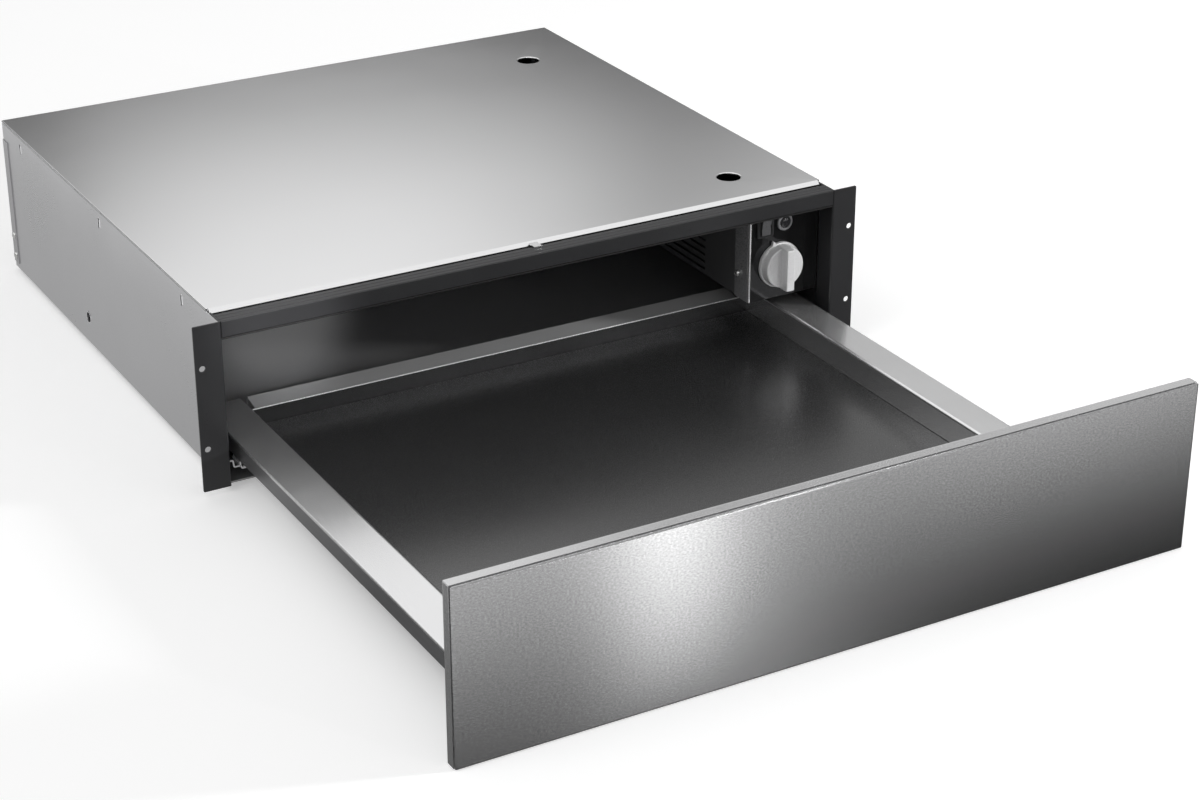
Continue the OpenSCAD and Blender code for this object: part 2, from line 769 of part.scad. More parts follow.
module pilot_ring() {
    color("#9a9a9c") difference() {
        union() {
            bar_y(lamp_x, plate_y - lamp_rim, lamp_z, lamp_d, lamp_rim);
            bar_y(lamp_x, plate_y - cut, lamp_z, lamp_d - 2 * lamp_rim, lamp_body_l + cut);
        }
        bar_y(lamp_x, plate_y - lamp_rim - cut, lamp_z, lens_d, lamp_rim + lamp_body_l / 2 + cut);
    }
}

module pilot_lens() {
    color("#5c5c60") bar_y(lamp_x, plate_y - lamp_rim - lens_rim, lamp_z, lens_d - 2 * lay_gap,
        lens_rim + lamp_rim + lamp_body_l / 2);
}

module fan_frame() {
    color("#1e1e1f") union() {
        difference() {
            translate([fan_x, front_y + fan_y - fan_side / 2, fan_z - fan_side / 2])
                cube([fan_t, fan_side, fan_side]);
            bar_x(fan_x - cut, front_y + fan_y, fan_z, fan_bore_d, fan_t + 2 * cut);
        }
        for (turn = [45 : 90 : 315])
            translate([fan_x + fan_t, front_y + fan_y, fan_z]) rotate([turn, 0, 0])
                translate([-arm_t, -arm_w / 2, motor_d / 2 - arm_t])
                    cube([arm_t, arm_w, fan_bore_d / 2 - motor_d / 2 + 2 * arm_t]);
        difference() {
            bar_x(fan_x + fan_t - arm_t, front_y + fan_y, fan_z, motor_d, arm_t);
            bar_x(fan_x + fan_t - arm_t - cut, front_y + fan_y, fan_z, fan_shaft_d + 2 * move_gap,
                arm_t + 2 * cut);
        }
        difference() {
            box([fan_x, front_y + fan_y - fan_side / 2, duct_z + sheet_t],
                [fan_x + fan_t, front_y + fan_y + fan_side / 2, fan_z - fan_side / 2 + fan_ring_t]);
            bar_x(fan_x - cut, front_y + fan_y, fan_z, fan_bore_d, fan_t + 2 * cut);
        }
    }
}

module fan_motor() {
    color("#77777a") difference() {
        bar_x(motor_x, front_y + fan_y, fan_z, motor_d, motor_l);
        bar_x(motor_x - cut, front_y + fan_y, fan_z, fan_shaft_d + 2 * shaft_play, motor_l / 2 + cut);
    }
}

module fan_impeller() {
    hub_x = fan_x + 2 * move_gap;
    hub_free = hub_l - arm_t;
    color("#2a2a2b") union() {
        bar_x(hub_x, front_y + fan_y, fan_z, hub_d, hub_free);
        bar_x(hub_x, front_y + fan_y, fan_z, fan_shaft_d, motor_x + motor_l / 2 - move_gap - hub_x);
        for (i = [0 : blade_count - 1])
            translate([hub_x + hub_free / 2, front_y + fan_y, fan_z]) rotate([i * 360 / blade_count, 0, 0])
                rotate([0, 0, blade_pitch_angle])
                    translate([-blade_t / 2, -hub_free * blade_width_share, hub_d / 2 - blade_t])
                        cube([blade_t, 2 * hub_free * blade_width_share, blade_len - hub_d / 2]);
    }
}

// A ring that is open by a small angle, with two thicker cold ends running back along the duct
module ring_heater() {
    color("#6e6a66") translate([heater_x, front_y + fan_y, fan_z]) union() {
        rotate([0, 90, 0]) rotate([0, 0, 90 + heater_gap_angle / 2])
            rotate_extrude(angle = 360 - heater_gap_angle) translate([heater_r, 0]) circle(d = heater_tube_d);
        for (side = [-1, 1])
            bar_y(0, lead_y - heater_lead_d, side * lead_z, heater_lead_d, heater_lead_l);
    }
}

module heater_clip() {
    clip_y = front_y + fan_y + heater_r + heater_lead_l / 2;
    color("#8a8a8c") difference() {
        box([duct_x + sheet_t, clip_y, duct_z + sheet_t], [heater_x + heater_tube_d, clip_y + clip_t,
            fan_z + clip_w]);
        for (side = [-1, 1])
            bar_y(heater_x, clip_y - cut, fan_z + side * lead_z, heater_lead_d + 2 * shaft_play,
                clip_t + 2 * cut);
    }
}

module heat_cutout() {
    color("#3f3f42") union() {
        bar_x(duct_x + sheet_t, cutout_y, fan_z, cutout_d, cutout_h);
        box([duct_x + sheet_t, cutout_y - cutout_d / 2 - cutout_ear, fan_z - cutout_ear],
            [duct_x + 2 * sheet_t, cutout_y + cutout_d / 2 + cutout_ear, fan_z + cutout_ear]);
    }
}

module terminal_block() {
    low = duct_z + sheet_t;
    pitch = terminal_w / terminal_ways;
    color("#e6e2d6") difference() {
        box([terminal_x, terminal_y, low],
            [terminal_x + terminal_h, terminal_y + terminal_w, low + terminal_t]);
        for (i = [0 : terminal_ways - 1])
            translate([terminal_x + terminal_h / 2, terminal_y + pitch * i + pitch / 2, low + terminal_t / 2])
                cylinder(h = terminal_t, d = terminal_hole_d);
    }
}

module cable_gland() {
    hole_d = gland_bore_d + 2 * gland_flange_t;
    color("#202021") difference() {
        union() {
            bar_y(gland_x, rear_y, gland_z, gland_d, gland_out);
            bar_y(gland_x, rear_y - sheet_t - gland_in, gland_z, hole_d - 2 * lay_gap,
                sheet_t + gland_in + cut);
        }
        bar_y(gland_x, rear_y - sheet_t - gland_in - cut, gland_z, gland_bore_d,
            gland_in + sheet_t + gland_out + 2 * cut);
    }
}

// Left runner, drawn at its own place; the right one is its mirror image
module fixed_member() {
    rise = runner_x + drawer_half + wing_rise_x;
    low = wing_top - runner_t;
    difference() {
        along_y(front_y + runner_setback, runner_len) union() {
            translate([-runner_x, 0]) folded_u(fixed_half, low, fixed_top, runner_t);
            translate([-rise - runner_t, low]) square([rise - runner_x + fixed_half, runner_t]);
            translate([-rise - runner_t, low]) square([runner_t, hook_rise + runner_t]);
            translate([-wing_out, low + hook_rise]) square([wing_out - rise, runner_t]);
            translate([-wing_out, low + hook_rise]) square([runner_t, hook_tab]);
        }
        box([-wing_out - cut, front_y, 0], [-rail_half, return_back, case_h]);
    }
}
module middle_member() {
    along_y(middle_y, runner_len) translate([-runner_x, 0])
        folded_u(middle_half, middle_under, middle_top, runner_t);
}
module drawer_member() {
    along_y(front_back_y + tray_t + lay_gap, runner_len) translate([-runner_x, 0])
        folded_u(drawer_half, runner_under, runner_top, runner_t);
}
// A cage that carries a row of balls in the gap on each side of the inner member
module ball_cage(y, inner_half_w, inner_top) {
    mid = inner_half_w + ball_gap / 2;
    top = inner_top + ball_gap / 2 + cage_t / 2;
    pitch = (cage_len - 2 * cage_end) / (ball_count - 1);
    translate([-runner_x, 0, 0]) union() {
        along_y(y, cage_len) folded_u(mid + cage_t / 2, top - cage_drop, top, cage_t);
        for (side = [-1, 1], i = [0 : ball_count - 1])
            translate([side * mid, y + cage_end + i * pitch, top - ball_drop]) sphere(d = ball_d);
    }
}
module runner_fixed_left() {
    color("silver") fixed_member();
}
module runner_fixed_right() {
    color("silver") mirror([1, 0, 0]) fixed_member();
}
module runner_middle_left() {
    color("darkgray") middle_member();
}
module runner_middle_right() {
    color("darkgray") mirror([1, 0, 0]) middle_member();
}
module runner_drawer_left() {
    color("gray") drawer_member();
}
module runner_drawer_right() {
    color("gray") mirror([1, 0, 0]) drawer_member();
}
module inner_cage_left() {
    color("goldenrod") ball_cage(inner_cage_y, fixed_half, fixed_top);
}
module inner_cage_right() {
    color("goldenrod") mirror([1, 0, 0]) ball_cage(inner_cage_y, fixed_half, fixed_top);
}
module outer_cage_left() {
    color("goldenrod") ball_cage(outer_cage_y, middle_half, middle_top);
}
module outer_cage_right() {
    color("goldenrod") mirror([1, 0, 0]) ball_cage(outer_cage_y, middle_half, middle_top);
}

module tray_pan() {
    low = [-tray_half, tray_front_y, tray_z];
    color("gray") difference() {
        union() {
            box(low, [tray_half, tray_rear_y, tray_floor]);
            box(low, [tray_half, tray_front_y + tray_t, side_top_z - tray_t]);
            box([-tray_half, tray_rear_y - tray_t, tray_z], [tray_half, tray_rear_y, cross_low]);
        }
        for (share = front_screw_shares)
            bar_y(tray_half * share, tray_front_y - cut, front_screw_z, screw_d / 2, tray_t + 2 * cut);
    }
}

// The left side cover: inner wall, sloping top and outer lip; the right one is its mirror image
module side_cover() {
    wall = tray_half + tray_t;
    along_y(tray_front_y, side_rear_y - tray_front_y) polygon([
        [-tray_half, tray_z],
        [-tray_half, side_top_z],
        [-side_out, side_out_z],
        [-side_out, side_out_z - side_lip],
        [-side_out + tray_t, side_out_z - side_lip],
        [-side_out + tray_t, side_out_z - tray_t],
        [-wall, side_top_z - tray_t],
        [-wall, tray_z]]);
}
module side_cover_left() {
    color("lightgray") side_cover();
}
module side_cover_right() {
    color("lightgray") mirror([1, 0, 0]) side_cover();
}

module cross_rail() {
    back = cross_y + cross_depth;
    color("#5e5e60") along_x(-cross_half, 2 * cross_half) polygon([
        [tray_rear_y, tray_z],
        [tray_rear_y, cross_low - tray_t],
        [cross_y, cross_low],
        [back, cross_low + cross_rise],
        [back, tray_z],
        [back - tray_t, tray_z],
        [back - tray_t, cross_low + cross_rise - 2 * tray_t],
        [cross_y, cross_low - 2 * tray_t],
        [cross_y, tray_z]]);
}

module mat() {
    color("#2b2b2c") box(
        [-tray_half + mat_gap, tray_front_y + tray_t + mat_gap, tray_floor],
        [tray_half - mat_gap, tray_rear_y - tray_t - mat_gap, tray_floor + mat_t]);
}

module front_face() {
    in = face_bevel;
    color("#9c9c9e") union() {
        box([-front_w / 2, front_face_y + in, front_z],
            [front_w / 2, front_face_y + face_t, front_z + front_h]);
        hull() {
            box([-front_w / 2 + in, front_face_y, front_z + in],
                [front_w / 2 - in, front_face_y + in, front_z + front_h - in]);
            box([-front_w / 2, front_face_y + in, front_z],
                [front_w / 2, front_face_y + face_t / 2 + in / 2, front_z + front_h]);
        }
    }
}

module front_frame() {
    seam_y = front_face_y + face_t + seam_w;
    low = front_back_y - back_t;
    color("#6a6a6c") difference() {
        union() {
            box([-front_w / 2, seam_y, front_z], [front_w / 2, low, front_z + front_h]);
            box([-front_w / 2 + seam_depth, front_face_y + face_t, front_z + seam_depth],
                [front_w / 2 - seam_depth, low, front_z + front_h - seam_depth]);
        }
        box([-front_w / 2 + front_wall, front_face_y + face_t - cut, front_z + front_wall],
            [front_w / 2 - front_wall, low + cut, front_z + front_h - front_wall]);
    }
}

module front_back() {
    color("#57575a") difference() {
        box([-front_w / 2, front_back_y - back_t, front_z],
            [front_w / 2, front_back_y, front_z + front_h]);
        for (share = front_screw_shares)
            bar_y(tray_half * share, front_back_y - back_t - cut, front_screw_z, screw_d / 2,
                back_t + 2 * cut);
    }
}

// The left bracket that ties the tray's side to the drawer front; the right one is its mirror image
module front_bracket() {
    in_x = -tray_half - tray_t;
    bracket_l = runner_w;
    low = tray_z;
    union() {
        box([in_x - bracket_l / 3, front_back_y, low], [in_x, front_back_y + tray_t, runner_top]);
        box([in_x - tray_t, front_back_y, low], [in_x, front_back_y + bracket_l, runner_top]);
    }
}
module front_bracket_left() {
    color("darkgray") front_bracket();
}
module front_bracket_right() {
    color("darkgray") mirror([1, 0, 0]) front_bracket();
}

// Rubber buffers at the four corners of the front's inner side
module front_buffers() {
    buffer_x = return_x + frame_t + buffer_d / 2;
    color("#111111") for (x = [-buffer_x, buffer_x], z = [buffer_in, front_h - buffer_in])
        bar_y(x, front_back_y, front_z + z, buffer_d, buffer_t);
}

// Screws that hold the tray's front wall to the drawer front
module drawer_screws() {
    color("gainsboro") for (share = front_screw_shares)
        union() {
            bar_y(tray_half * share, tray_front_y + tray_t, front_screw_z, screw_d, screw_h);
            bar_y(tray_half * share, front_back_y - back_t, front_screw_z, screw_d / 2,
                back_t + 3 * tray_t);
        }
}

module latch_housing() {
    color("#dcdcdc") difference() {
        box([-latch_w / 2, latch_front, sheet_t],
            [latch_w / 2, latch_front + latch_len, sheet_t + latch_h]);
        bar_y(0, latch_front - cut, latch_axis, plunger_d + 2 * latch_play, latch_len - latch_floor + cut);
    }
}

module latch_plunger() {
    color("#efefef")
        bar_y(0, latch_front - plunger_out, latch_axis, plunger_d, plunger_out + plunger_in);
}

module latch_strike() {
    color("silver") union() {
        box([-strike_w / 2, strike_back - strike_t, tray_z - strike_drop],
            [strike_w / 2, strike_back, tray_z]);
        box([-strike_w / 2, strike_back - strike_drop, tray_z - strike_t / 2],
            [strike_w / 2, strike_back, tray_z]);
    }
}

top_cover();
side_wall_left();
side_wall_right();
base_pan();
rear_panel();
front_rail();
rail_seal();
flange_left();
flange_right();
casing_screws();
duct_housing();
duct_bracket();
duct_screw();
control_plate();
thermostat();
thermostat_shaft();
knob();
rocker_housing();
rocker();
pilot_ring();
pilot_lens();
fan_frame();
fan_motor();
fan_impeller();
ring_heater();
heater_clip();
heat_cutout();
terminal_block();
cable_gland();
runner_fixed_left();
runner_fixed_right();
runner_middle_left();
runner_middle_right();
inner_cage_left();
inner_cage_right();
outer_cage_left();
outer_cage_right();
runner_drawer_left();
runner_drawer_right();
tray_pan();
side_cover_left();
side_cover_right();
cross_rail();
mat();
front_face();
front_frame();
front_back();
front_bracket_left();
front_bracket_right();
front_buffers();
drawer_screws();
latch_housing();
latch_plunger();
latch_strike();
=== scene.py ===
import json
from math import ceil, cos, pi, radians, sin, tan

import bmesh
import bpy
from mathutils import Matrix, Vector


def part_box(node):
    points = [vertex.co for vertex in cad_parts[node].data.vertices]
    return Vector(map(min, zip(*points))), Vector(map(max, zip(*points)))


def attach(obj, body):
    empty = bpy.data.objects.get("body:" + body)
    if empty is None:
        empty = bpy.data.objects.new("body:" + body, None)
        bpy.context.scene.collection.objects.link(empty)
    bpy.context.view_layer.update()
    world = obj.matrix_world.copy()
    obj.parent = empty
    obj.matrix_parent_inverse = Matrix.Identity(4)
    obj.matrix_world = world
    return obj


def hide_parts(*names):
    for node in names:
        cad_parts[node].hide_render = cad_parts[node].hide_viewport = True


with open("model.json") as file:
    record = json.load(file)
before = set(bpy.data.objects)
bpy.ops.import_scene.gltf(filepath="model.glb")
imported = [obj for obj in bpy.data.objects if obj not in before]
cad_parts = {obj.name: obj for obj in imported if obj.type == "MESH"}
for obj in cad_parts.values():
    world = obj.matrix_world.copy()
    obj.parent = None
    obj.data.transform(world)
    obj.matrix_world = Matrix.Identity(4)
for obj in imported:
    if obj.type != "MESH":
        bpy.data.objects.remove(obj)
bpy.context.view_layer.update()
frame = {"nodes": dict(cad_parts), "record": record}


# Base pan: the floor sheet of the casing, 0.9 mm zinc-coated steel with its side and rear
# edges turned up for the walls to lie against. Its front edge is cut, and is drawn as a strip
# of near-white metal: partly the bare edge, partly a painted highlight that makes it show as a
# bright line. Sizes here and below are in millimetres.
SHEET = 0.9
record = frame["record"]
body_of = {node: body for body, held in record["behaviour"]["bodies"].items() for node in held}


def box_mm(node):
    """Lowest and highest corner of a CAD piece."""
    low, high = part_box(node)
    return low * 1000, high * 1000


def arc(centre, radius, start, turn, steps):
    """Points along an arc, angles in degrees."""
    return [(centre[0] + radius * cos(radians(start + turn * i / steps)),
             centre[1] + radius * sin(radians(start + turn * i / steps))) for i in range(steps + 1)]


def rounded_rectangle(low, high, radius, steps=5):
    (left, under), (right, top) = low, high
    points = []
    for x, y, start in ((right - radius, top - radius, 0), (left + radius, top - radius, 90),
                        (left + radius, under + radius, 180), (right - radius, under + radius, 270)):
        points += arc((x, y), radius, start, 90, steps)
    return points


def outward(outline):
    """At each point of a closed outline, the way straight off it, away from its middle."""
    points = [Vector(point[:2]) for point in outline]
    middle = sum(points, Vector((0, 0))) / len(points)
    ways = []
    for i, point in enumerate(points):
        along = points[(i + 1) % len(points)] - points[i - 1]
        way = Vector((along.y, -along.x)).normalized()
        ways.append(-way if way.dot(point - middle) < 0 else way)
    return ways


def laid(shape, origin, x_way, y_way, z_way):
    """Lays a shape's own X, Y and Z along three ways, with its zero at the origin given."""
    turn = Matrix((x_way, y_way, z_way)).transposed().to_4x4()
    turn.translation = Vector(origin)
    bmesh.ops.transform(shape, matrix=turn, verts=shape.verts[:])
    return shape


class Sheet:
    """A blank of sheet metal: cut flat, bent along its edges, then given its thickness."""

    def __init__(self, outline, holes=()):
        self.skin = bmesh.new()
        self.inward = {}
        self.loops = []
        edges = []
        for loop in (outline, *holes):
            corners = [self.skin.verts.new((u, v, 0)) for u, v in loop]
            edges += [self.skin.edges.new((corners[i - 1], corners[i])) for i in range(len(corners))]
            self.loops.append(corners)
            for corner in corners:
                self.inward[corner] = Vector((0, 0, -1))
        bmesh.ops.triangle_fill(self.skin, use_beauty=True, use_dissolve=False, edges=edges, normal=(0, 0, 1))

    def bend(self, chain, out, *moves, ring=False, cap=False):
        """Carries a chain of edge points through straight runs and (radius, degrees) bends, down
        being a negative turn. Out is the way off the sheet, one for all points or one each."""
        if callable(chain):
            along = Vector((-out[1], out[0], 0))
            chain = sorted((v for v in self.loops[0] if chain(v.co)), key=lambda v: v.co.dot(along))
        outs = [Vector((*way, 0)) for way in (out if isinstance(out, list) else [out] * len(chain))]
        away, up, heading, row = 0.0, 0.0, 0.0, list(chain)
        for move in moves:
            if isinstance(move, tuple):
                radius, turn = move[0], radians(move[1])
                steps = max(2, ceil(abs(move[1]) / 18))
                chord = 2 * radius * sin(abs(turn) / steps / 2)
                turns = [turn / steps] * steps
            else:
                chord, turns = move, [0.0]
            for part in turns:
                heading += part / 2
                away += chord * cos(heading)
                up += chord * sin(heading)
                heading += part / 2
                fresh = []
                for start, way in zip(chain, outs):
                    corner = self.skin.verts.new(start.co + way * away + Vector((0, 0, up)))
                    self.inward[corner] = way * sin(heading) - Vector((0, 0, cos(heading)))
                    fresh.append(corner)
                for i in range(0 if ring else 1, len(row)):
                    self.skin.faces.new((row[i - 1], row[i], fresh[i], fresh[i - 1]))
                row = fresh
        if cap:
            self.skin.faces.new(row)
        return row

    def lip(self, hole, *moves, cap=False):
        """Turns the rim of a hole through a bend all round."""
        rim = self.loops[hole + 1]
        outs = [tuple(-way) for way in outward([corner.co for corner in rim])]
        return self.bend(rim, outs, *moves, ring=True, cap=cap)

    def place(self, origin, u, v, thickness):
        """Gives the sheet its thickness and puts its plane at its place: u and v are the ways
        along the sheet, and u x v is its outer side."""
        skin, u, v = self.skin, Vector(u), Vector(v)
        bmesh.ops.recalc_face_normals(skin, faces=skin.faces[:])
        skin.normal_update()
        flat = [f for f in skin.faces if all(c in self.loops[0] for c in f.verts)]
        if sum(f.normal.z * f.calc_area() for f in flat or skin.faces) < 0:
            bmesh.ops.reverse_faces(skin, faces=skin.faces[:])
        outer, rims = list(skin.faces), [e for e in skin.edges if e.is_boundary]
        twin = {c: skin.verts.new(c.co + way * thickness) for c, way in self.inward.items()}
        for face in outer:
            skin.faces.new([twin[c] for c in reversed(face.verts)])
        for edge in rims:
            a, b = edge.link_loops[0].vert, edge.link_loops[0].link_loop_next.vert
            skin.faces.new((b, a, twin[a], twin[b]))
        return laid(skin, origin, u, v, u.cross(v))


def loft(rows, loop=False):
    """A skin over rows of points, each row going once round the shape."""
    shape = bmesh.new()
    made = [[shape.verts.new(point) for point in row] for row in rows]
    for a, b in zip(made, made[1:] + (made[:1] if loop else [])):
        for i in range(len(a)):
            shape.faces.new((a[i - 1], a[i], b[i], b[i - 1]))
    if not loop:
        shape.faces.new(made[0])
        shape.faces.new(made[-1])
    return shape


def bar(outline, axis, start, end):
    """A solid bar: an outline across X, Y or Z, stretched from start to end along that axis."""
    at = "XYZ".index(axis)
    return loft([[(*point[:at], place, *point[at:]) for point in outline] for place in (start, end)])


def as_mesh(name, shape):
    mesh = bpy.data.meshes.new(name)
    shape.to_mesh(mesh)
    shape.free()
    return mesh


def put_in(name, data):
    """Puts an object into the scene."""
    thing = bpy.data.objects.new(name, data)
    bpy.context.collection.objects.link(thing)
    return thing


def fit(name, shape, finish, *nodes, crease=38):
    """Makes the piece that stands for its CAD nodes, and hangs it on their body."""
    bmesh.ops.transform(shape, matrix=Matrix.Scale(0.001, 4), verts=shape.verts[:])
    bmesh.ops.recalc_face_normals(shape, faces=shape.faces[:])
    mesh = as_mesh(name, shape)
    mesh.shade_smooth()
    mesh.set_sharp_from_angle(angle=radians(crease))
    mesh.materials.append(finish)
    piece = put_in(name, mesh)
    piece.modifiers.new("even_shading", "WEIGHTED_NORMAL").keep_sharp = True
    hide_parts(*nodes)
    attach(piece, body_of[nodes[0]])
    return piece


def node_of(tree, kind, settings=None, **inputs):
    """One shader node with its settings, and its inputs either set or linked."""
    made = tree.nodes.new(kind)
    for setting, value in (settings or {}).items():
        setattr(made, setting, value)
    for key, value in inputs.items():
        socket = made.inputs[int(key[1:])] if key[1:].isdigit() else made.inputs[key.replace("_", " ")]
        if isinstance(value, bpy.types.NodeSocket):
            tree.links.new(value, socket)
        else:
            socket.default_value = value
    return made


def maths(tree, operation, *values):
    """The result of one sum on sockets or plain figures."""
    return node_of(tree, "ShaderNodeMath", {"operation": operation},
                   **{f"_{i}": value for i, value in enumerate(values)}).outputs[0]


def spread(tree, value, low, high, to_low=0.0, to_high=1.0):
    """A value carried from one span to another, and held inside it."""
    return node_of(tree, "ShaderNodeMapRange", Value=value, From_Min=low, From_Max=high, To_Min=to_low,
                   To_Max=to_high).outputs["Result"]


def finish_of(name, colour, roughness, metal=0.0, marks=(1, 1, 1), fineness=900, tone=0.08,
              rub=0.05, relief=0.02, clouds=14, cloud_tone=0.06, cloud_rub=0.03, **sockets):
    """A finish with the fine marks of its making, laid out along the part, and faint clouds
    of handling over them. Relief is the depth of the marks in millimetres."""
    material = bpy.data.materials.new(name)
    material.use_nodes = True
    tree = material.node_tree
    shader = tree.nodes["Principled BSDF"]
    shader.inputs["Metallic"].default_value = metal
    for socket, value in sockets.items():
        shader.inputs[socket.replace("_", " ")].default_value = value
    place = node_of(tree, "ShaderNodeTexCoord").outputs["Object"]
    lay = node_of(tree, "ShaderNodeMapping", Vector=place, Scale=marks).outputs["Vector"]
    grain = node_of(tree, "ShaderNodeTexNoise", Vector=lay, Scale=fineness, Detail=3).outputs["Fac"]
    cloud = node_of(tree, "ShaderNodeTexNoise", Vector=place, Scale=clouds, Detail=4).outputs["Fac"]
    least, most = 0.3, 0.7
    shades, gloss = [], []
    for source, shift, wear in ((grain, tone, rub), (cloud, cloud_tone, cloud_rub)):
        ramp = node_of(tree, "ShaderNodeValToRGB", Fac=source)
        for end, at, way in zip(ramp.color_ramp.elements, (least, most), (-1, 1)):
            end.position = at
            end.color = (*(min(1, c * (1 + way * shift)) for c in colour), 1)
        shades.append(ramp.outputs["Color"])
        gloss.append(spread(tree, source, least, most, roughness / 2 - wear, roughness / 2 + wear))
    blend = node_of(tree, "ShaderNodeMix", {"data_type": "RGBA"}, A=shades[0], B=shades[1])
    tree.links.new(blend.outputs["Result"], shader.inputs["Base Color"])
    tree.links.new(maths(tree, "ADD", *gloss), shader.inputs["Roughness"])
    if relief:
        bump = node_of(tree, "ShaderNodeBump", Strength=1, Distance=relief / 1000, Height=grain)
        tree.links.new(bump.outputs["Normal"], shader.inputs["Normal"])
    return material


pan_zinc = finish_of("pan_zinc", (0.33, 0.33, 0.335), 0.4, 0.4, fineness=700, clouds=9,
                     cloud_tone=0.08, cloud_rub=0.04, relief=0.01)
pan_low, pan_high = box_mm("base_pan")
flange_low, flange_high = box_mm("flange_left")
rail_low, rail_high = box_mm("front_rail")
RETURN_BACK = flange_high.y + 0.1
PAN_BEND = 1.4
edge_x, edge_y = -pan_low.x - PAN_BEND - SHEET, pan_high.y - PAN_BEND - SHEET
pan = Sheet([(-rail_high.x, pan_low.y), (rail_high.x, pan_low.y), (rail_high.x, RETURN_BACK),
             (edge_x, RETURN_BACK + 0.5), (edge_x, edge_y), (-edge_x, edge_y),
             (-edge_x, RETURN_BACK + 0.5), (-rail_high.x, RETURN_BACK)])
upturn = (PAN_BEND, 90), pan_high.z - PAN_BEND - SHEET
pan.bend(lambda c: c.x > edge_x - 0.1 and c.y > RETURN_BACK + 0.4, (1, 0), *upturn)
pan.bend(lambda c: c.x < -edge_x + 0.1 and c.y > RETURN_BACK + 0.4, (-1, 0), *upturn)
pan.bend(lambda c: c.y > edge_y - 0.1, (0, 1), *upturn)
fit("floor_pan", pan.place((0, 0, SHEET), (1, 0, 0), (0, 1, 0), SHEET), pan_zinc, "base_pan")
# near-white finish for cut edges: partly the bare metal of a cut edge, partly a painted highlight that keeps
# thin edges bright even in shade
bare_edge_and_highlight = finish_of("bare_edge_and_highlight", (0.9, 0.9, 0.905), 0.25, 0.3, fineness=1500, relief=0.002)
cut_edge = rounded_rectangle((pan_low.y, 0.2), (pan_low.y + 1.1, SHEET + 0.25), 0.45, 3)
fit("pan_front_edge", bar(cut_edge, "X", -rail_high.x, rail_high.x), bare_edge_and_highlight, "base_pan")


# Side walls: flat sheets of the same zinc-coated steel, standing between the base pan and
# the top cover. Each has three slots near the top that the cover hooks into, and a hole low
# down, all punched with a raised rim that catches the light. The rims are given a lighter zinc
# than the wall, a painted highlight.
def round_hole(centre, diameter, steps=32):
    return arc(centre, diameter / 2, 0, 360 * (steps - 1) / steps, steps - 1)


def slot(middle, wide, tall, radius, steps=5):
    return rounded_rectangle((middle[0] - wide / 2, middle[1] - tall / 2),
                             (middle[0] + wide / 2, middle[1] + tall / 2), radius, steps)


def together(*shapes):
    """Puts several shapes into one."""
    whole = bmesh.new()
    for shape in shapes:
        mesh = as_mesh("part", shape)
        whole.from_mesh(mesh)
        bpy.data.meshes.remove(mesh)
    return whole


def stand(shape, origin, out):
    """Puts a shape drawn facing up Z at its place, facing out, with its Y still pointing up."""
    out = Vector(out)
    up = Vector((0, 1, 0)) if abs(out.z) > 0.9 else Vector((0, 0, 1))
    return laid(shape, origin, up.cross(out), up, out)


def punched_rim(points, rim, height):
    """A raised bead round a punched opening, as a closed ring of rounded faces."""
    rise = ((0, -SHEET / 2), (0, height * 0.7), (rim * 0.25, height), (rim * 0.6, height * 0.8),
            (rim, 0.0), (rim, -SHEET / 2))
    return loft([[(x + way.x * grow, y + way.y * grow, lift)
                  for (x, y), way in zip(points, outward(points))] for grow, lift in rise], loop=True)


def fit_both(name, shape, finish, node):
    """Fits a left-hand shape, and its mirror image on the casing's other side."""
    twin = laid(shape.copy(), (0, 0, 0), (-1, 0, 0), (0, 1, 0), (0, 0, 1))
    bmesh.ops.reverse_faces(twin, faces=twin.faces[:])
    for hand, half in (("_left", shape), ("_right", twin)):
        fit(name + hand, half, finish, node + hand)


wall_zinc = finish_of("wall_zinc", (0.65, 0.65, 0.66), 0.3, 1.0, marks=(1, 0.4, 1), fineness=1100,
                      tone=0.06, rub=0.02, relief=0.003, clouds=8)
# painted highlight: the wall's own zinc made lighter, so the punched rims read bright
rim_highlight_zinc = finish_of("rim_highlight_zinc", (0.78, 0.78, 0.79), 0.24, 1.0, relief=0.01)
CASE_WIDE, CASE_DEEP, CASE_HIGH = 548.8, 507.2, 138.3
COVER_HEM = 1.8
SLOT_Z, HOLE_Y, HOLE_Z = 126.6, 52.9, 24.3
wall_low, wall_high = box_mm("side_wall_left")
wall_top = CASE_HIGH - COVER_HEM - 0.1
slots = [slot((CASE_DEEP * (0.5 - share), SLOT_Z), 2.6, 8.5, 1.2, 4) for share in (0.149, 0.509, 0.903)]
tool_hole = round_hole((-HOLE_Y, HOLE_Z), 8.6)
wall = Sheet([(-wall_high.y, 0), (-wall_low.y, 0), (-wall_low.y, wall_top), (-wall_high.y, wall_top)],
             [*slots, tool_hole])
outer_face = (-CASE_WIDE / 2, 0, 0)
fit_both("wall", wall.place(outer_face, (0, -1, 0), (0, 0, 1), SHEET), wall_zinc, "side_wall")
rims = together(*(punched_rim(points, 0.8, 0.45) for points in slots), punched_rim(tool_hole, 1.3, 0.6))
fit_both("wall_rims", stand(rims, outer_face, (-1, 0, 0)), rim_highlight_zinc, "side_wall")


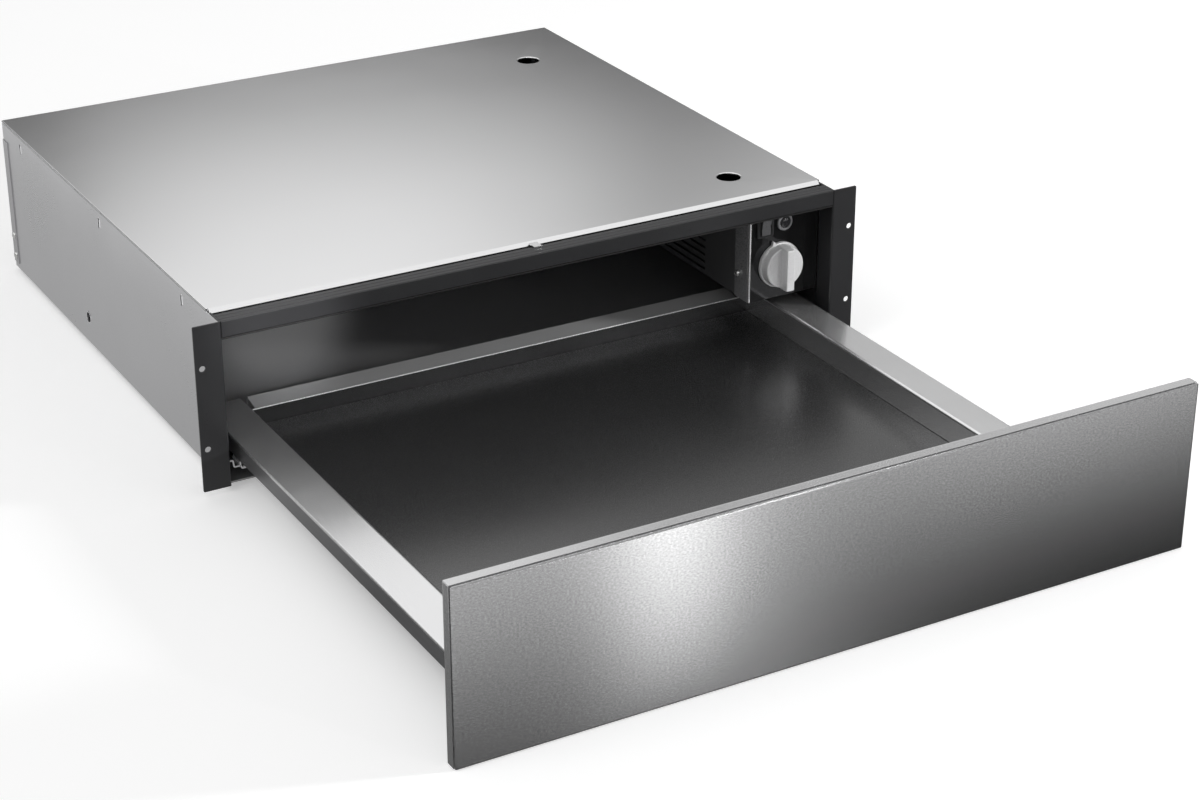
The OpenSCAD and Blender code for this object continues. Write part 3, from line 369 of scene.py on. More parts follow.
# Rear panel: one sheet across the back, its two edges folded forward over the side walls
# and fixed there with two pan-head screws on each side. Two long beads stiffen it.
rear_zinc = finish_of("rear_zinc", (0.55, 0.55, 0.56), 0.34, 1.0, marks=(0.5, 1, 1), fineness=1000,
                      relief=0.012, clouds=7)
rear_high = box_mm("rear_panel")[1]
REAR_BEND = 1.5
fold_x = rear_high.x - REAR_BEND
FOLD_LOW, FOLD_TOP, FOLD_REACH = 5.3, 121.3, 13
gland_at = (238, CASE_DEEP / 2, 90.3)
back = Sheet([(-fold_x, 0), (fold_x, 0), (fold_x, FOLD_LOW), (fold_x, FOLD_TOP), (fold_x, rear_high.z),
              (-fold_x, rear_high.z), (-fold_x, FOLD_TOP), (-fold_x, FOLD_LOW)],
             [round_hole((-gland_at[0], gland_at[2]), 12),
              *(slot((27.5, bead_z), 415, 14, 6.5) for bead_z in (34, 104))])
for way in (1, -1):
    back.bend(lambda c: c.x * way > fold_x - 0.1 and FOLD_LOW - 0.1 < c.y < FOLD_TOP + 0.1, (way, 0),
              (REAR_BEND, -90), FOLD_REACH - REAR_BEND)
for bead in (1, 2):
    back.lip(bead, (2, -35), 1, (2, 35), cap=True)
fit("back_panel", back.place((0, rear_high.y, 0), (-1, 0, 0), (0, 0, 1), SHEET), rear_zinc, "rear_panel")


def turned(profile, steps=48, waves=0, solid=False):
    """A piece turned round its own axis from (radius, height) points, where a third figure is
    the height of waves round that row. A profile that starts off the axis closes into a ring,
    unless the piece is solid."""
    rows = []
    for radius, z, *wave in profile:
        rows.append([])
        for a in (2 * pi * i / steps for i in range(steps)):
            r = radius + sum(wave) * cos(waves * a)
            rows[-1].append((r * cos(a), r * sin(a), z))
    return loft(rows, loop=profile[0][0] > 0.5 and not solid)


def pan_screw(across, height, shank):
    """A pan-head screw with a six-lobed recess in its head and a plain shank."""
    shares = ((0.15, 0.3, 0.16), (0.17, 0.95, 0.16), (0.19, 1, 0.12), (0.3, 0.98, 0), (0.4, 0.86, 0),
              (0.47, 0.62, 0), (0.5, 0.32, 0), (0.5, 0, 0), (0.26, 0, 0))
    head = [(across * out, height * up, across * out * lobe) for out, up, lobe in shares]
    return turned([*head, (across * 0.25, -0.2), (across * 0.25, -shank)], 36, 6, solid=True)


screw_zinc = finish_of("screw_zinc", (0.74, 0.74, 0.73), 0.22, 1.0, fineness=1500, relief=0.004)
screws = together(*(stand(pan_screw(6.4, 1.4, 2.7), (way * 275.3, 247.1, z), (way, 0, 0))
                    for way in (-1, 1) for z in (11.7, 30.9)))
fit("rear_flange_screws", screws, screw_zinc, "casing_screws")


# Mains inlet: a black moulded gland, snapped into the rear panel behind the terminals. Its
# collar has grip flutes and its bore is open, because the cord isn't part of the picture.
gland_black = finish_of("gland_black", (0.018, 0.018, 0.019), 0.5, fineness=1800)
gland = turned([(4, -9.9), (4, 4.3), (4.6, 5), (7.4, 5), (8.4, 4.2), (8.95, 3.8, -0.35), (9.55, 3.2, -0.35),
                (9.65, 0.9, -0.35), (9.6, 0.1), (5.9, 0), (5.9, -0.9), (6.2, -1.2), (5.6, -9.4),
                (5.1, -9.9)], 96, 16)
fit("mains_gland", stand(gland, gland_at, (0, 1, 0)), gland_black, "cable_gland")


# Fixed runners: the casing's half of each telescopic runner, rolled from 1.2 mm zinc-plated
# strip. A narrow channel carries the balls, and a stepped wing hooks it to the casing. At the
# front an upturned lip and a stop pin get the near-white edge finish, a painted highlight that
# makes them show bright.
def eased(last, corner, following, reach, share, steps):
    """Points of a soft bend in place of a corner. It takes up at most a share of each side."""
    to_last, to_next = last - corner, following - corner
    reach = min(reach, to_last.length * share, to_next.length * share)
    first, end = corner + to_last.normalized() * reach, corner + to_next.normalized() * reach
    return [first * (1 - f) ** 2 + corner * 2 * f * (1 - f) + end * f ** 2
            for f in (k / steps for k in range(steps + 1))]


def rolled(path, thickness, radius):
    """Both faces of a strip rolled along a centre path. A point may bring its own radius."""
    points = [Vector(p[:2]) for p in path]
    centre = [points[0]]
    for i in range(1, len(points) - 1):
        bend = path[i][2] if len(path[i]) > 2 else radius
        angle = (points[i - 1] - points[i]).angle(points[i + 1] - points[i])
        centre += eased(*points[i - 1:i + 2], bend / tan(angle / 2), 0.49, 5)
    centre.append(points[-1])
    faces = []
    for i, point in enumerate(centre):
        into = (point - centre[i - 1]).normalized() if i else (centre[1] - point).normalized()
        away = (centre[i + 1] - point).normalized() if i + 1 < len(centre) else into
        along = (into + away).normalized()
        across = Vector((-along.y, along.x)) * thickness / 2 / max(0.5, along.dot(into))
        faces.append((point + across, point - across))
    return faces


def drawn(path, thickness, axis, start, end, radius=1.2):
    """A strip rolled along a centre path, stretched from start to end along X or Y."""
    def spot(point, at):
        return (at, point.x, point.y) if axis == "X" else (point.x, at, point.y)
    shape, strip = bmesh.new(), rolled(path, thickness, radius)
    ends = [[(shape.verts.new(spot(a, at)), shape.verts.new(spot(b, at))) for a, b in strip]
            for at in (start, end)]
    for i in range(1, len(strip)):
        for k in (0, 1):
            shape.faces.new((ends[0][i - 1][k], ends[0][i][k], ends[1][i][k], ends[1][i - 1][k]))
        for end_row in ends:
            shape.faces.new((end_row[i - 1][0], end_row[i][0], end_row[i][1], end_row[i - 1][1]))
    for i in (0, -1):
        shape.faces.new((ends[0][i][0], ends[0][i][1], ends[1][i][1], ends[1][i][0]))
    return shape


runner_zinc = finish_of("runner_zinc", (0.62, 0.62, 0.63), 0.26, 1.0, marks=(1, 0.08, 1),
                        fineness=1400, tone=0.12, relief=0.01, clouds=20)
RUNNER_X, STRIP = 252.2, 1.2
fixed_low, fixed_high = box_mm("runner_fixed_left")
wing_z, shelf_z, step_z = fixed_low.z + STRIP / 2, 11.7, 17.4
fixed_path = [(-RUNNER_X + 1.2, 10.1), (-RUNNER_X + 1.2, 22.2), (-RUNNER_X - 1.2, 22.2),
              (-RUNNER_X - 1.2, wing_z), (-260.3, wing_z), (-260.9, shelf_z), (-266.5, shelf_z),
              (-267.2, step_z), (-271.3, step_z), (-271.5, fixed_high.z)]
fixed = drawn(fixed_path, STRIP, "Y", fixed_low.y, fixed_high.y)
fit_both("fixed_runner", fixed, runner_zinc, "runner_fixed")
lip = rounded_rectangle((-261.9, shelf_z), (-260.7, 15.2), 0.55, 4)
stop_pin = turned([(0.02, 0), (0.7, 0), (1, 0.4), (1, 5.9), (0.6, 6.6), (0.02, 6.6)], 24)
stop = together(bar(lip, "Y", fixed_low.y, fixed_low.y + 14),
                stand(stop_pin, (-252.4, fixed_low.y + 1.3, 9.9), (-1, 0, 0)))
fit_both("runner_stop", stop, bare_edge_and_highlight, "runner_fixed")


# Heater duct: a folded box of dark enamelled sheet along the casing's right side, hung under
# the top cover. Ten louvres are pressed into its wall, so that warm air reaches the drawer.
# Its top lip stops short under the cover's two ports.
duct_enamel = finish_of("duct_enamel", (0.075, 0.075, 0.077), 0.36, fineness=1300, relief=0.012,
                        clouds=10, cloud_tone=0.1)
duct_low, duct_high = box_mm("duct_housing")
DUCT_BEND = 1.5
DUCT_LIP, UNDER_FOLD, CUT_BACK = 12, 134, 5
LOUVRE, FIRST_Z, PITCH = 2.8, 48.3, 6.53
low_v, top_v = duct_low.z + DUCT_BEND, duct_high.z - DUCT_BEND
front_u, rear_u = -duct_low.y, -duct_high.y + DUCT_BEND
across = duct_high.x - duct_low.x
PORT_Y, PORT_GAP = (-185.6, 171.4), 12
lip_ends = [front_u - CUT_BACK, *(off - y for y in PORT_Y for off in (PORT_GAP, -PORT_GAP)), rear_u]
louvre_z = [FIRST_Z + PITCH * i for i in range(10)]
louvres = [slot((105.6, z), 116, LOUVRE, 1.38) for z in louvre_z]
duct = Sheet([(rear_u, low_v), (front_u, low_v), (front_u, UNDER_FOLD), (front_u - CUT_BACK, UNDER_FOLD),
              *((u, top_v) for u in lip_ends)], louvres)
for i, z in enumerate(louvre_z):
    upper = [c for c in duct.loops[i + 1] if c.co.y > z + LOUVRE / 2 - 0.1]
    duct.bend(sorted(upper, key=lambda c: c.co.x), (0, -1), (1.1, -52), 1.7)
duct.bend(lambda c: c.y < low_v + 0.1, (0, -1), (DUCT_BEND, -90), across - 2 * DUCT_BEND, (DUCT_BEND, -90),
          DUCT_LIP - DUCT_BEND)
duct.bend(lambda c: c.x < rear_u + 0.1, (-1, 0), (DUCT_BEND, -90), across - DUCT_BEND - 0.2)
for first, last in zip(lip_ends[::2], lip_ends[1::2]):
    duct.bend(lambda c: c.y > top_v - 0.1 and last - 0.1 < c.x < first + 0.1, (0, 1), (DUCT_BEND, -90),
              DUCT_LIP - DUCT_BEND)
fit("duct_box", duct.place((duct_low.x, 0, 0), (0, -1, 0), (0, 0, 1), SHEET), duct_enamel, "duct_housing")


# Duct bracket: a strip of thin sheet between the duct's front end and the control plate,
# held by one bright pan-head screw.
bracket_low, bracket_high = box_mm("duct_bracket")
bracket_enamel = finish_of("bracket_enamel", (0.24, 0.24, 0.245), 0.28, 0.2, fineness=1300, relief=0.008)
front, behind = -bracket_low.y, -bracket_high.y
strip = Sheet([(behind, bracket_low.z), (front, bracket_low.z), (front, UNDER_FOLD), (behind, UNDER_FOLD)])
fit("duct_strap", strip.place((bracket_low.x, 0, 0), (0, -1, 0), (0, 0, 1), 0.7), bracket_enamel,
    "duct_bracket")
strap_screw_at = (bracket_low.x, -218.77, 64.7)
fit("strap_screw", stand(pan_screw(6.2, 3.6, 3.2), strap_screw_at, (-1, 0, 0)), screw_zinc, "duct_screw")


# Fan: a square black frame with four struts, a round steel motor and a seven-bladed rotor,
# standing on the duct's floor. These inner pieces keep their solids, with softened edges.
def dress(node, finish, edge):
    """Gives a carried-over solid its finish, and breaks its edges by a width in millimetres."""
    solid = frame["nodes"][node]
    solid.data.materials.clear()
    solid.data.materials.append(finish)
    soften = solid.modifiers.new("broken_edges", "BEVEL")
    soften.width = edge / 1000
    soften.segments = 2
    soften.limit_method = "ANGLE"
    soften.angle_limit = radians(50)
    soften.harden_normals = True


fan_black = finish_of("fan_black", (0.02, 0.02, 0.021), 0.48, fineness=2000)
motor_steel = finish_of("motor_steel", (0.42, 0.42, 0.43), 0.36, 1.0, marks=(6, 1, 1), fineness=700)
dress("fan_frame", fan_black, 0.5)
dress("fan_impeller", fan_black, 0.3)
dress("fan_motor", motor_steel, 0.8)


# Ring heater: a tubular element, tinted by heat, whose two cold ends are carried by a plate.
# The cut-out on the duct's wall opens the circuit if the air stops.
heater_tube = finish_of("heater_tube", (0.33, 0.27, 0.22), 0.44, 0.9, fineness=600, clouds=35,
                        cloud_tone=0.3, tone=0.15)
clip_steel = finish_of("clip_steel", (0.5, 0.5, 0.5), 0.34, 1.0, marks=(1, 1, 0.2))
cutout_brown = finish_of("cutout_brown", (0.05, 0.035, 0.03), 0.42, fineness=1500)
dress("ring_heater", heater_tube, 0.2)
dress("heater_clip", clip_steel, 0.25)
dress("heat_cutout", cutout_brown, 0.6)


# Terminals: a moulded block with three screw wells on the duct's floor, where the mains
# leads arrive from the gland.
terminal_cream = finish_of("terminal_cream", (0.78, 0.75, 0.66), 0.45, fineness=1500, relief=0.03)
dress("terminal_block", terminal_cream, 0.6)


# Thermostat: a moulded body fixed behind the control plate, with a turned steel shaft that
# comes through the plate and carries the knob.
thermostat_cream = finish_of("thermostat_cream", (0.66, 0.63, 0.55), 0.4, fineness=1500, relief=0.03)
shaft_steel = finish_of("shaft_steel", (0.62, 0.62, 0.62), 0.24, 1.0, marks=(1, 12, 1), fineness=400)
dress("thermostat", thermostat_cream, 0.8)
dress("thermostat_shaft", shaft_steel, 0.4)


# Control plate: an upright plate of dark, glossy metal between the duct and the right flange,
# punched for the shaft, the switch and the lamp. Its left edge is folded back into the duct, and
# the raw edge of the fold is drawn as a near-white strip: partly bare metal, partly a painted
# highlight that makes it show bright.
plate_gloss = finish_of("plate_gloss", (0.075, 0.075, 0.077), 0.1, 0.9, marks=(0.1, 1, 1), fineness=1600,
                        relief=0.002, rub=0.015, cloud_rub=0.01)
plate_low, plate_high = box_mm("control_plate")
PLATE_BEND = 1.2
knob_at, lamp_at, switch_at = (233, 72.3), (238, 109), (218.6, 109.3)
left_u = plate_low.x + PLATE_BEND
plate = Sheet([(left_u, plate_low.z), (plate_high.x, plate_low.z), (plate_high.x, 127.3),
               (plate_high.x - 1, 127.3), (plate_high.x - 1, UNDER_FOLD), (left_u, UNDER_FOLD)],
              [round_hole(knob_at, 8), round_hole(lamp_at, 11.4), slot(switch_at, 12.4, 17, 0.8)])
plate.bend(lambda c: c.x < left_u + 0.1, (-1, 0), (PLATE_BEND, -90), 8)
fit("control_panel", plate.place((0, plate_low.y, 0), (1, 0, 0), (0, 0, 1), 1.0), plate_gloss,
    "control_plate")
bead = rounded_rectangle((plate_low.x - 0.9, plate_low.y - 0.4), (plate_low.x + 0.5, plate_low.y + 0.8),
                         0.5, 3)
fit("panel_edge", bar(bead, "Z", plate_low.z, 123.5), bare_edge_and_highlight, "control_plate")


# Thermostat knob: satin silver moulding with a thin skirt, a round body, a raised grip bar
# across it and a small pointer lug on the skirt's edge. It is pushed onto the shaft.
def stepped(rows, steps=5):
    """A rounded block or frame from (half width, half length, corner, height) rows."""
    return loft([[(x, y, z) for x, y in slot((0, 0), 2 * half_w, 2 * half_l, corner, steps)]
                 for half_w, half_l, corner, z in rows])


knob_silver = finish_of("knob_silver", (0.76, 0.76, 0.765), 0.28, 0.2, fineness=2200, relief=0.004, tone=0.03)
knob_body = turned([(3.05, 9.1), (3.05, 0.2), (3.4, 0), (19.6, 0), (20, 0.35), (20, 2.5), (19.75, 2.9),
                    (19.2, 3), (18.8, 3.1), (18.5, 3.5), (18.1, 9.4), (17.9, 10.1), (17.5, 10.5),
                    (16.9, 10.7), (8, 10.7), (2.2, 10.7), (2.2, 9.1)], 96)
grip = stepped([(4.0, 18.5, 1.0, 3.4), (4.0, 18.5, 1.0, 10.7), (3.9, 18.3, 1.0, 18.5), (3.8, 18.2, 1.0, 19.0),
                (3.5, 17.9, 0.9, 19.35), (3.0, 17.4, 0.7, 19.5)], 8)
KNOB_BACK, LUG_TURN = -233.3, radians(18)
lug_rows = []
for z, shrink in ((0.1, 0.3), (0.5, 0), (2.4, 0), (2.9, 0.5)):
    w, tip = 2.5 - shrink, 23.2 - 1.6 * shrink
    lug = ((-w, 12), (w, 12), (w, 19.2 - shrink), (0.5, tip - 0.4), (0, tip), (-0.5, tip - 0.4),
           (-w, 19.2 - shrink))
    lug_rows.append([(x * cos(LUG_TURN) - y * sin(LUG_TURN), x * sin(LUG_TURN) + y * cos(LUG_TURN), z)
                     for x, y in lug])
knob = together(knob_body, grip, loft(lug_rows))
fit("knob_cap", stand(knob, (knob_at[0], KNOB_BACK, knob_at[1]), (0, -1, 0)), knob_silver, "knob")


# Rocker switch: a black snap-in frame with a deep pocket, and a grey button that rocks on a
# pin across it. The button's face is two shallow slopes that meet in a rounded valley.
switch_black = finish_of("switch_black", (0.02, 0.02, 0.021), 0.4, fineness=2400, relief=0.015)
rocker_grey = finish_of("rocker_grey", (0.09, 0.09, 0.094), 0.28, fineness=2400, relief=0.004, tone=0.04)


def on_plate(shape, at):
    """Stands a shape on the control plate, facing forward."""
    return stand(shape, (at[0], plate_low.y, at[1]), (0, -1, 0))


housing = stepped([(4.85, 8.15, 0.5, -8), (4.85, 8.15, 0.5, 1.3), (5.3, 8.6, 0.7, 2.0), (7.4, 9.7, 1.2, 2.0),
                   (8.0, 10.3, 1.4, 1.6), (8.2, 10.5, 1.5, 0.9), (8.2, 10.5, 1.5, 0), (6.15, 8.45, 0.7, 0),
                   (6.15, 8.45, 0.7, -19.2), (5.6, 7.9, 0.6, -20)])
fit("switch_frame", on_plate(housing, switch_at), switch_black, "rocker_housing")


def filleted(outline, radius):
    """A closed outline with every corner rounded."""
    points = [Vector(point) for point in outline]
    return [point for i, corner in enumerate(points)
            for point in eased(points[i - 1], corner, points[(i + 1) % len(points)], radius, 0.45, 4)]


def cushion_edged(outline, low, high, edge):
    """An outline thickened along Z between two heights, with both rims rounded off."""
    rise = ((low, edge), (low + edge * 0.3, edge * 0.3), (low + edge, 0), (high - edge, 0),
            (high - edge * 0.3, edge * 0.3), (high, edge))
    return loft([[(*(point - way * inset), z) for point, way in zip(outline, outward(outline))]
                 for z, inset in rise])


saddle = filleted([(-7.4, 5.2), (0, 4.0), (7.4, 5.2), (7.4, -1.2), (0, -5.8), (-7.4, -1.2)], 0.7)
TILT = radians(7)
button = laid(cushion_edged(saddle, -4.5, 4.5, 0.5), (switch_at[0], plate_low.y + 1.2, switch_at[1]),
              (0, -sin(TILT), cos(TILT)), (0, -cos(TILT), -sin(TILT)), (1, 0, 0))
fit("rocker_button", button, rocker_grey, "rocker")


# Pilot lamp: a grey ring snapped into the plate round a smoky lens with a domed front, which
# lights up when the heater is on.
ring_grey = finish_of("ring_grey", (0.30, 0.30, 0.31), 0.28, 0.4, fineness=2400, relief=0.006)
lens_smoke = finish_of("lens_smoke", (0.03, 0.03, 0.033), 0.1, fineness=2000, relief=0.0,
                       Transmission_Weight=0.35, Coat_Weight=0.5)
ring = turned([(5, -6.8), (5, 1.2), (5.3, 1.7), (6.1, 1.8), (7.1, 1.4), (7.5, 0.7), (7.5, 0), (5.7, 0),
               (5.7, -13.5), (5.3, -14), (4, -14), (4, -6.8)], 64)
fit("lamp_ring", on_plate(ring, lamp_at), ring_grey, "pilot_ring")
lens = turned([(0.02, 2.4), (1.6, 2.32), (3.0, 2.1), (4.1, 1.7), (4.7, 1.2), (4.9, 0.6), (4.9, -6.6),
               (0.02, -6.6)], 48)
fit("lamp_lens", on_plate(lens, lamp_at), lens_smoke, "pilot_lens")


# Front frame: a rail across the top and a flange at each side, folded from 1.2 mm steel and
# powder-coated charcoal. Two wood screws through each flange hold the appliance in its niche.
charcoal = finish_of("charcoal_coat", (0.024, 0.024, 0.0255), 0.34, fineness=1500, relief=0.012,
                     tone=0.12, clouds=18, cloud_tone=0.12)
FRAME, FRAME_BEND = 1.2, 1.6
CORNER, RETURN = 0.9, 20
SCREW_X, SCREW_Z, SCREW_HOLE = -289.3, (35.6, 102.3), 5
fold_u = -rail_high.x - 0.1 - FRAME_BEND
outline = [(fold_u, flange_low.z), (fold_u, flange_high.z),
           *arc((flange_low.x + CORNER, flange_high.z - CORNER), CORNER, 90, 90, 6),
           *arc((flange_low.x + CORNER, flange_low.z + CORNER), CORNER, 180, 90, 6)]
flange = Sheet(outline, [round_hole((SCREW_X, z), SCREW_HOLE) for z in SCREW_Z])
flange.bend(lambda c: c.x > fold_u - 0.1, (1, 0), (FRAME_BEND, -90), RETURN - FRAME_BEND)
fit_both("screw_flange", flange.place((0, flange_low.y, 0), (1, 0, 0), (0, 0, 1), FRAME), charcoal, "flange")
RIDGE, RAIL_DEPTH = 0.35, 16.5
mid_z = rail_high.z - RIDGE - FRAME / 2
rail_front, rail_back = rail_low.y + FRAME / 2, rail_high.y - FRAME / 2
rail_path = [(rail_front, rail_low.z), (rail_front, mid_z + RIDGE, 0.7),
             (rail_front + 1.1, mid_z + RIDGE, 0.4), (rail_front + 1.7, mid_z, 0.4)]
for share in (1 / 3, 2 / 3):
    ridge = rail_low.y + RAIL_DEPTH * share
    rail_path += [(ridge + off, mid_z + lift, 0.4)
                  for off, lift in ((-1.1, 0), (-0.5, RIDGE), (0.5, RIDGE), (1.1, 0))]
rail_path += [(rail_back, mid_z, 1.5), (rail_back, rail_low.z)]
fit("top_rail", drawn(rail_path, FRAME, "X", rail_low.x, rail_high.x), charcoal, "front_rail")


# Seal: a black extruded rubber strip, pushed up behind the rail's front face, whose lip keeps
# the warm air in when the drawer is shut.
seal_rubber = finish_of("seal_rubber", (0.012, 0.012, 0.012), 0.5, fineness=1800)
seal_low, seal_high = box_mm("rail_seal")
seal_outline = filleted([(seal_low.y + 0.1, seal_low.z), (seal_low.y + 0.1, seal_low.z + 1.4),
                         (seal_low.y + 1.4, seal_low.z + 1.5), (seal_low.y + 1.4, seal_high.z),
                         (seal_high.y, seal_high.z), (seal_high.y, seal_low.z)], 0.5)
seal = cushion_edged(seal_outline, seal_low.x, seal_high.x, 0.2)
fit("seal_strip", laid(seal, (0, 0, 0), (0, 1, 0), (0, 0, 1), (1, 0, 0)), seal_rubber, "rail_seal")


# Top cover: a single satin zinc-coated sheet. Its side edges are hemmed and turned down inside
# the walls, its front edge is folded down behind the rail, and a small tab hooks over the rail.
# Two round ports near the right side, their rims turned down, let the duct breathe.
cover_zinc = finish_of("cover_zinc", (0.81, 0.81, 0.815), 0.12, 1.0, fineness=1300,
                       tone=0.05, rub=0.015, relief=0.001, clouds=6, cloud_tone=0.03, cloud_rub=0.015)
cover_low, cover_high = box_mm("top_cover")
HEM, COVER, COVER_BEND, PORT_X = COVER_HEM / 2, 0.8, 1.5, 212
hem_x, fold_y = cover_high.x - HEM, -228.6
ports = [round_hole((PORT_X, y), 22, 48) for y in PORT_Y]
top = Sheet([(-hem_x, fold_y + 0.3), (-hem_x + 1, fold_y), (hem_x - 1, fold_y), (hem_x, fold_y + 0.3),
             (hem_x, cover_high.y), (-hem_x, cover_high.y)], ports)
for way in (1, -1):
    top.bend(lambda c: way * c.x > hem_x - 0.1, (way, 0), (HEM, -180), (0.3, 90), 7.8)
top.bend(lambda c: abs(c.x) < hem_x - 0.9 and c.y < fold_y + 0.1, (0, -1), (COVER_BEND, -48), 3.3)
for port in (0, 1):
    top.lip(port, (1, -90), 0.9)
tongue_z = cover_high.z - COVER / 2
tongue = drawn([(-231.4, 135.9), (-233.4, tongue_z), (cover_low.y, tongue_z)], COVER, "X", -3.5, 3.5)
cover = fit("cover_sheet", together(top.place((0, 0, cover_high.z), (1, 0, 0), (0, 1, 0), COVER), tongue),
            cover_zinc, "top_cover", crease=10)
cover.data.materials.append(finish_of("cover_underside", (0.8, 0.8, 0.8), 0.5, 0.3, fineness=1300))
for face in cover.data.polygons:
    face.material_index = int(face.normal.z < -0.9)


# Touch latch: a white moulded box on the base pan with a sprung plunger. A push on the closed
# front makes it let go, because the drawer has no handle.
latch_white = finish_of("latch_white", (0.72, 0.72, 0.71), 0.38, fineness=1800)
dress("latch_housing", latch_white, 0.7)
plunger_low, plunger_high = box_mm("latch_plunger")
reach = plunger_high.y - plunger_low.y
plunger = turned([(0.02, reach), (1.3, reach - 0.1), (2.0, reach - 0.5), (2.3, reach - 1.2), (2.3, 0.4),
                  (2.0, 0), (0.02, 0)], 32)
fit("plunger_pin", stand(plunger, (0, plunger_high.y, (plunger_low.z + plunger_high.z) / 2), (0, -1, 0)),
    latch_white, "latch_plunger")


# Middle runners and ball cages: the middle member of each runner travels half as far as the
# drawer, on two rows of steel balls that are kept apart by thin brass-coloured cages.
def channel(node, half, radius):
    """A runner member: a channel open at its underside, as wide as two halves."""
    low, high = box_mm(node)
    top, sides = high.z - STRIP / 2, (half - RUNNER_X, -half - RUNNER_X)
    path = [(sides[0], low.z), (sides[0], top), (sides[1], top), (sides[1], low.z)]
    return drawn(path, STRIP, "Y", low.y, high.y, radius)


fit_both("middle_runner", channel("runner_middle_left", 5.5, 1.6), runner_zinc, "runner_middle")
cage_brass = finish_of("cage_brass", (0.55, 0.44, 0.24), 0.3, 1.0, tone=0.1)
for cage in ("inner_cage", "outer_cage"):
    for hand in ("_left", "_right"):
        dress(cage + hand, cage_brass, 0.15)


# Drawer runners: the outer members, dark zinc, hung under the tray's side covers. They carry
# the drawer's sides.
runner_dark = finish_of("runner_dark", (0.19, 0.19, 0.195), 0.34, 0.5, marks=(1, 0.08, 1), fineness=1200,
                        tone=0.12, relief=0.01)
fit_both("drawer_runner", channel("runner_drawer_left", 9.8, 1.8), runner_dark, "runner_drawer")


# Tray: a flat pan of 0.8 mm satin steel, its front and rear edges turned up. The front wall is
# screwed to the drawer front, and the rear wall's raw edge is a near-white strip: partly the bare
# edge, partly a painted highlight that makes it show as a bright line.
tray_satin = finish_of("tray_satin", (0.14, 0.14, 0.143), 0.2, 1.0, marks=(0.06, 1, 1), fineness=1000,
                       tone=0.04, rub=0.02, relief=0.002)
TRAY, TRAY_BEND, REAR_WALL = 0.8, 1.2, 16
tray_low, tray_high = box_mm("tray_pan")
edge = TRAY + TRAY_BEND
near, far = tray_low.y + edge, tray_high.y - edge
tray = Sheet([(tray_low.x, near), (tray_high.x, near), (tray_high.x, far), (tray_low.x, far)])
tray.bend(lambda c: c.y < near + 0.1, (0, -1), (TRAY_BEND, 90), tray_high.z - tray_low.z - edge)
tray.bend(lambda c: c.y > far - 0.1, (0, 1), (TRAY_BEND, 90), REAR_WALL - edge)
fit("drawer_tray", tray.place((0, 0, tray_low.z + TRAY), (1, 0, 0), (0, 1, 0), TRAY), tray_satin, "tray_pan")
raw_edge = rounded_rectangle((tray_high.y - 1.0, 25.3), (tray_high.y, 26.3), 0.45, 3)
fit("tray_raw_edge", bar(raw_edge, "X", tray_low.x, tray_high.x), bare_edge_and_highlight, "tray_pan")


# Side covers: folded strips of brushed steel that form the tray's side walls, cover the
# runners and end outside in a narrow lip. Their long grain runs from front to back.
cover_brushed = finish_of("cover_brushed", (0.87, 0.87, 0.875), 0.17, 0.92, marks=(1, 0.06, 1),
                          fineness=1500, tone=0.04, rub=0.01, relief=0.0003, clouds=9, Anisotropic=1.0,
                          Anisotropic_Rotation=0.25)
tree = cover_brushed.node_tree
lengthwise = node_of(tree, "ShaderNodeTangent", {"direction_type": "RADIAL", "axis": "Y"})
tree.links.new(lengthwise.outputs["Tangent"], tree.nodes["Principled BSDF"].inputs["Tangent"])
hull_low, hull_high = box_mm("side_cover_left")
wall_x, lip_x = hull_high.x - TRAY / 2, hull_low.x + TRAY / 2
hull_path = [(wall_x, hull_low.z), (wall_x, hull_high.z - TRAY / 2, 2.4), (lip_x, 33.1 - TRAY / 2, 1.6),
             (lip_x, 30.9)]
fit_both("side_cap", drawn(hull_path, TRAY, "Y", hull_low.y, hull_high.y), cover_brushed, "side_cover")


# Cross rail: a dark folded strip behind the tray's rear wall, rising a little to the rear, that
# ties both sides together and closes the view under the tray.
cross_satin = finish_of("cross_satin", (0.36, 0.36, 0.363), 0.5, 0.1, fineness=1200, relief=0.008, tone=0.05)
cross_low, cross_high = box_mm("cross_rail")
near, far = cross_low.y + TRAY / 2 + 0.3, cross_high.y - TRAY / 2
cross_path = [(near, cross_low.z), (near, 25.2, 0.7), (far, cross_high.z - TRAY / 2, 1.3), (far, cross_low.z)]
fit("tie_rail", drawn(cross_path, TRAY, "X", cross_low.x, cross_high.x), cross_satin, "cross_rail")


# Mat: a loose anti-slip sheet of dark elastomer that fills the tray's floor, with rounded
# corners and a fine leathery grain.
mat_dark = finish_of("mat_dark", (0.026, 0.026, 0.0265), 0.27, fineness=1400, relief=0.004, tone=0.1,
                     rub=0.03, clouds=5, cloud_rub=0.015, Specular_IOR_Level=1.0, IOR=1.72)
mat_low, mat_high = box_mm("mat")
mat_outline = [Vector(p) for p in rounded_rectangle(mat_low.xy, (mat_high.x, tray_high.y - TRAY - 0.1), 1.5)]
fit("anti_slip_mat", cushion_edged(mat_outline, mat_low.z, mat_high.z, 0.5), mat_dark, "mat")


# Drawer front: a brushed stainless face sheet with softly broken edges over a hollow frame and
# a back sheet of satin metal, glued into one board. A groove runs round it behind the face.
face_brushed = finish_of("face_brushed", (0.62, 0.62, 0.625), 0.25, 1.0, marks=(0.5, 1, 1), fineness=1000,
                         tone=0.34, rub=0.006, relief=0.0001, clouds=5, cloud_tone=0.03, cloud_rub=0.006,
                         Anisotropic=1.0, Anisotropic_Rotation=0.25)
board_grey = finish_of("board_grey", (0.74, 0.74, 0.745), 0.22, 0.9, fineness=1200, relief=0.003)
face_low, face_high = box_mm("front_face")


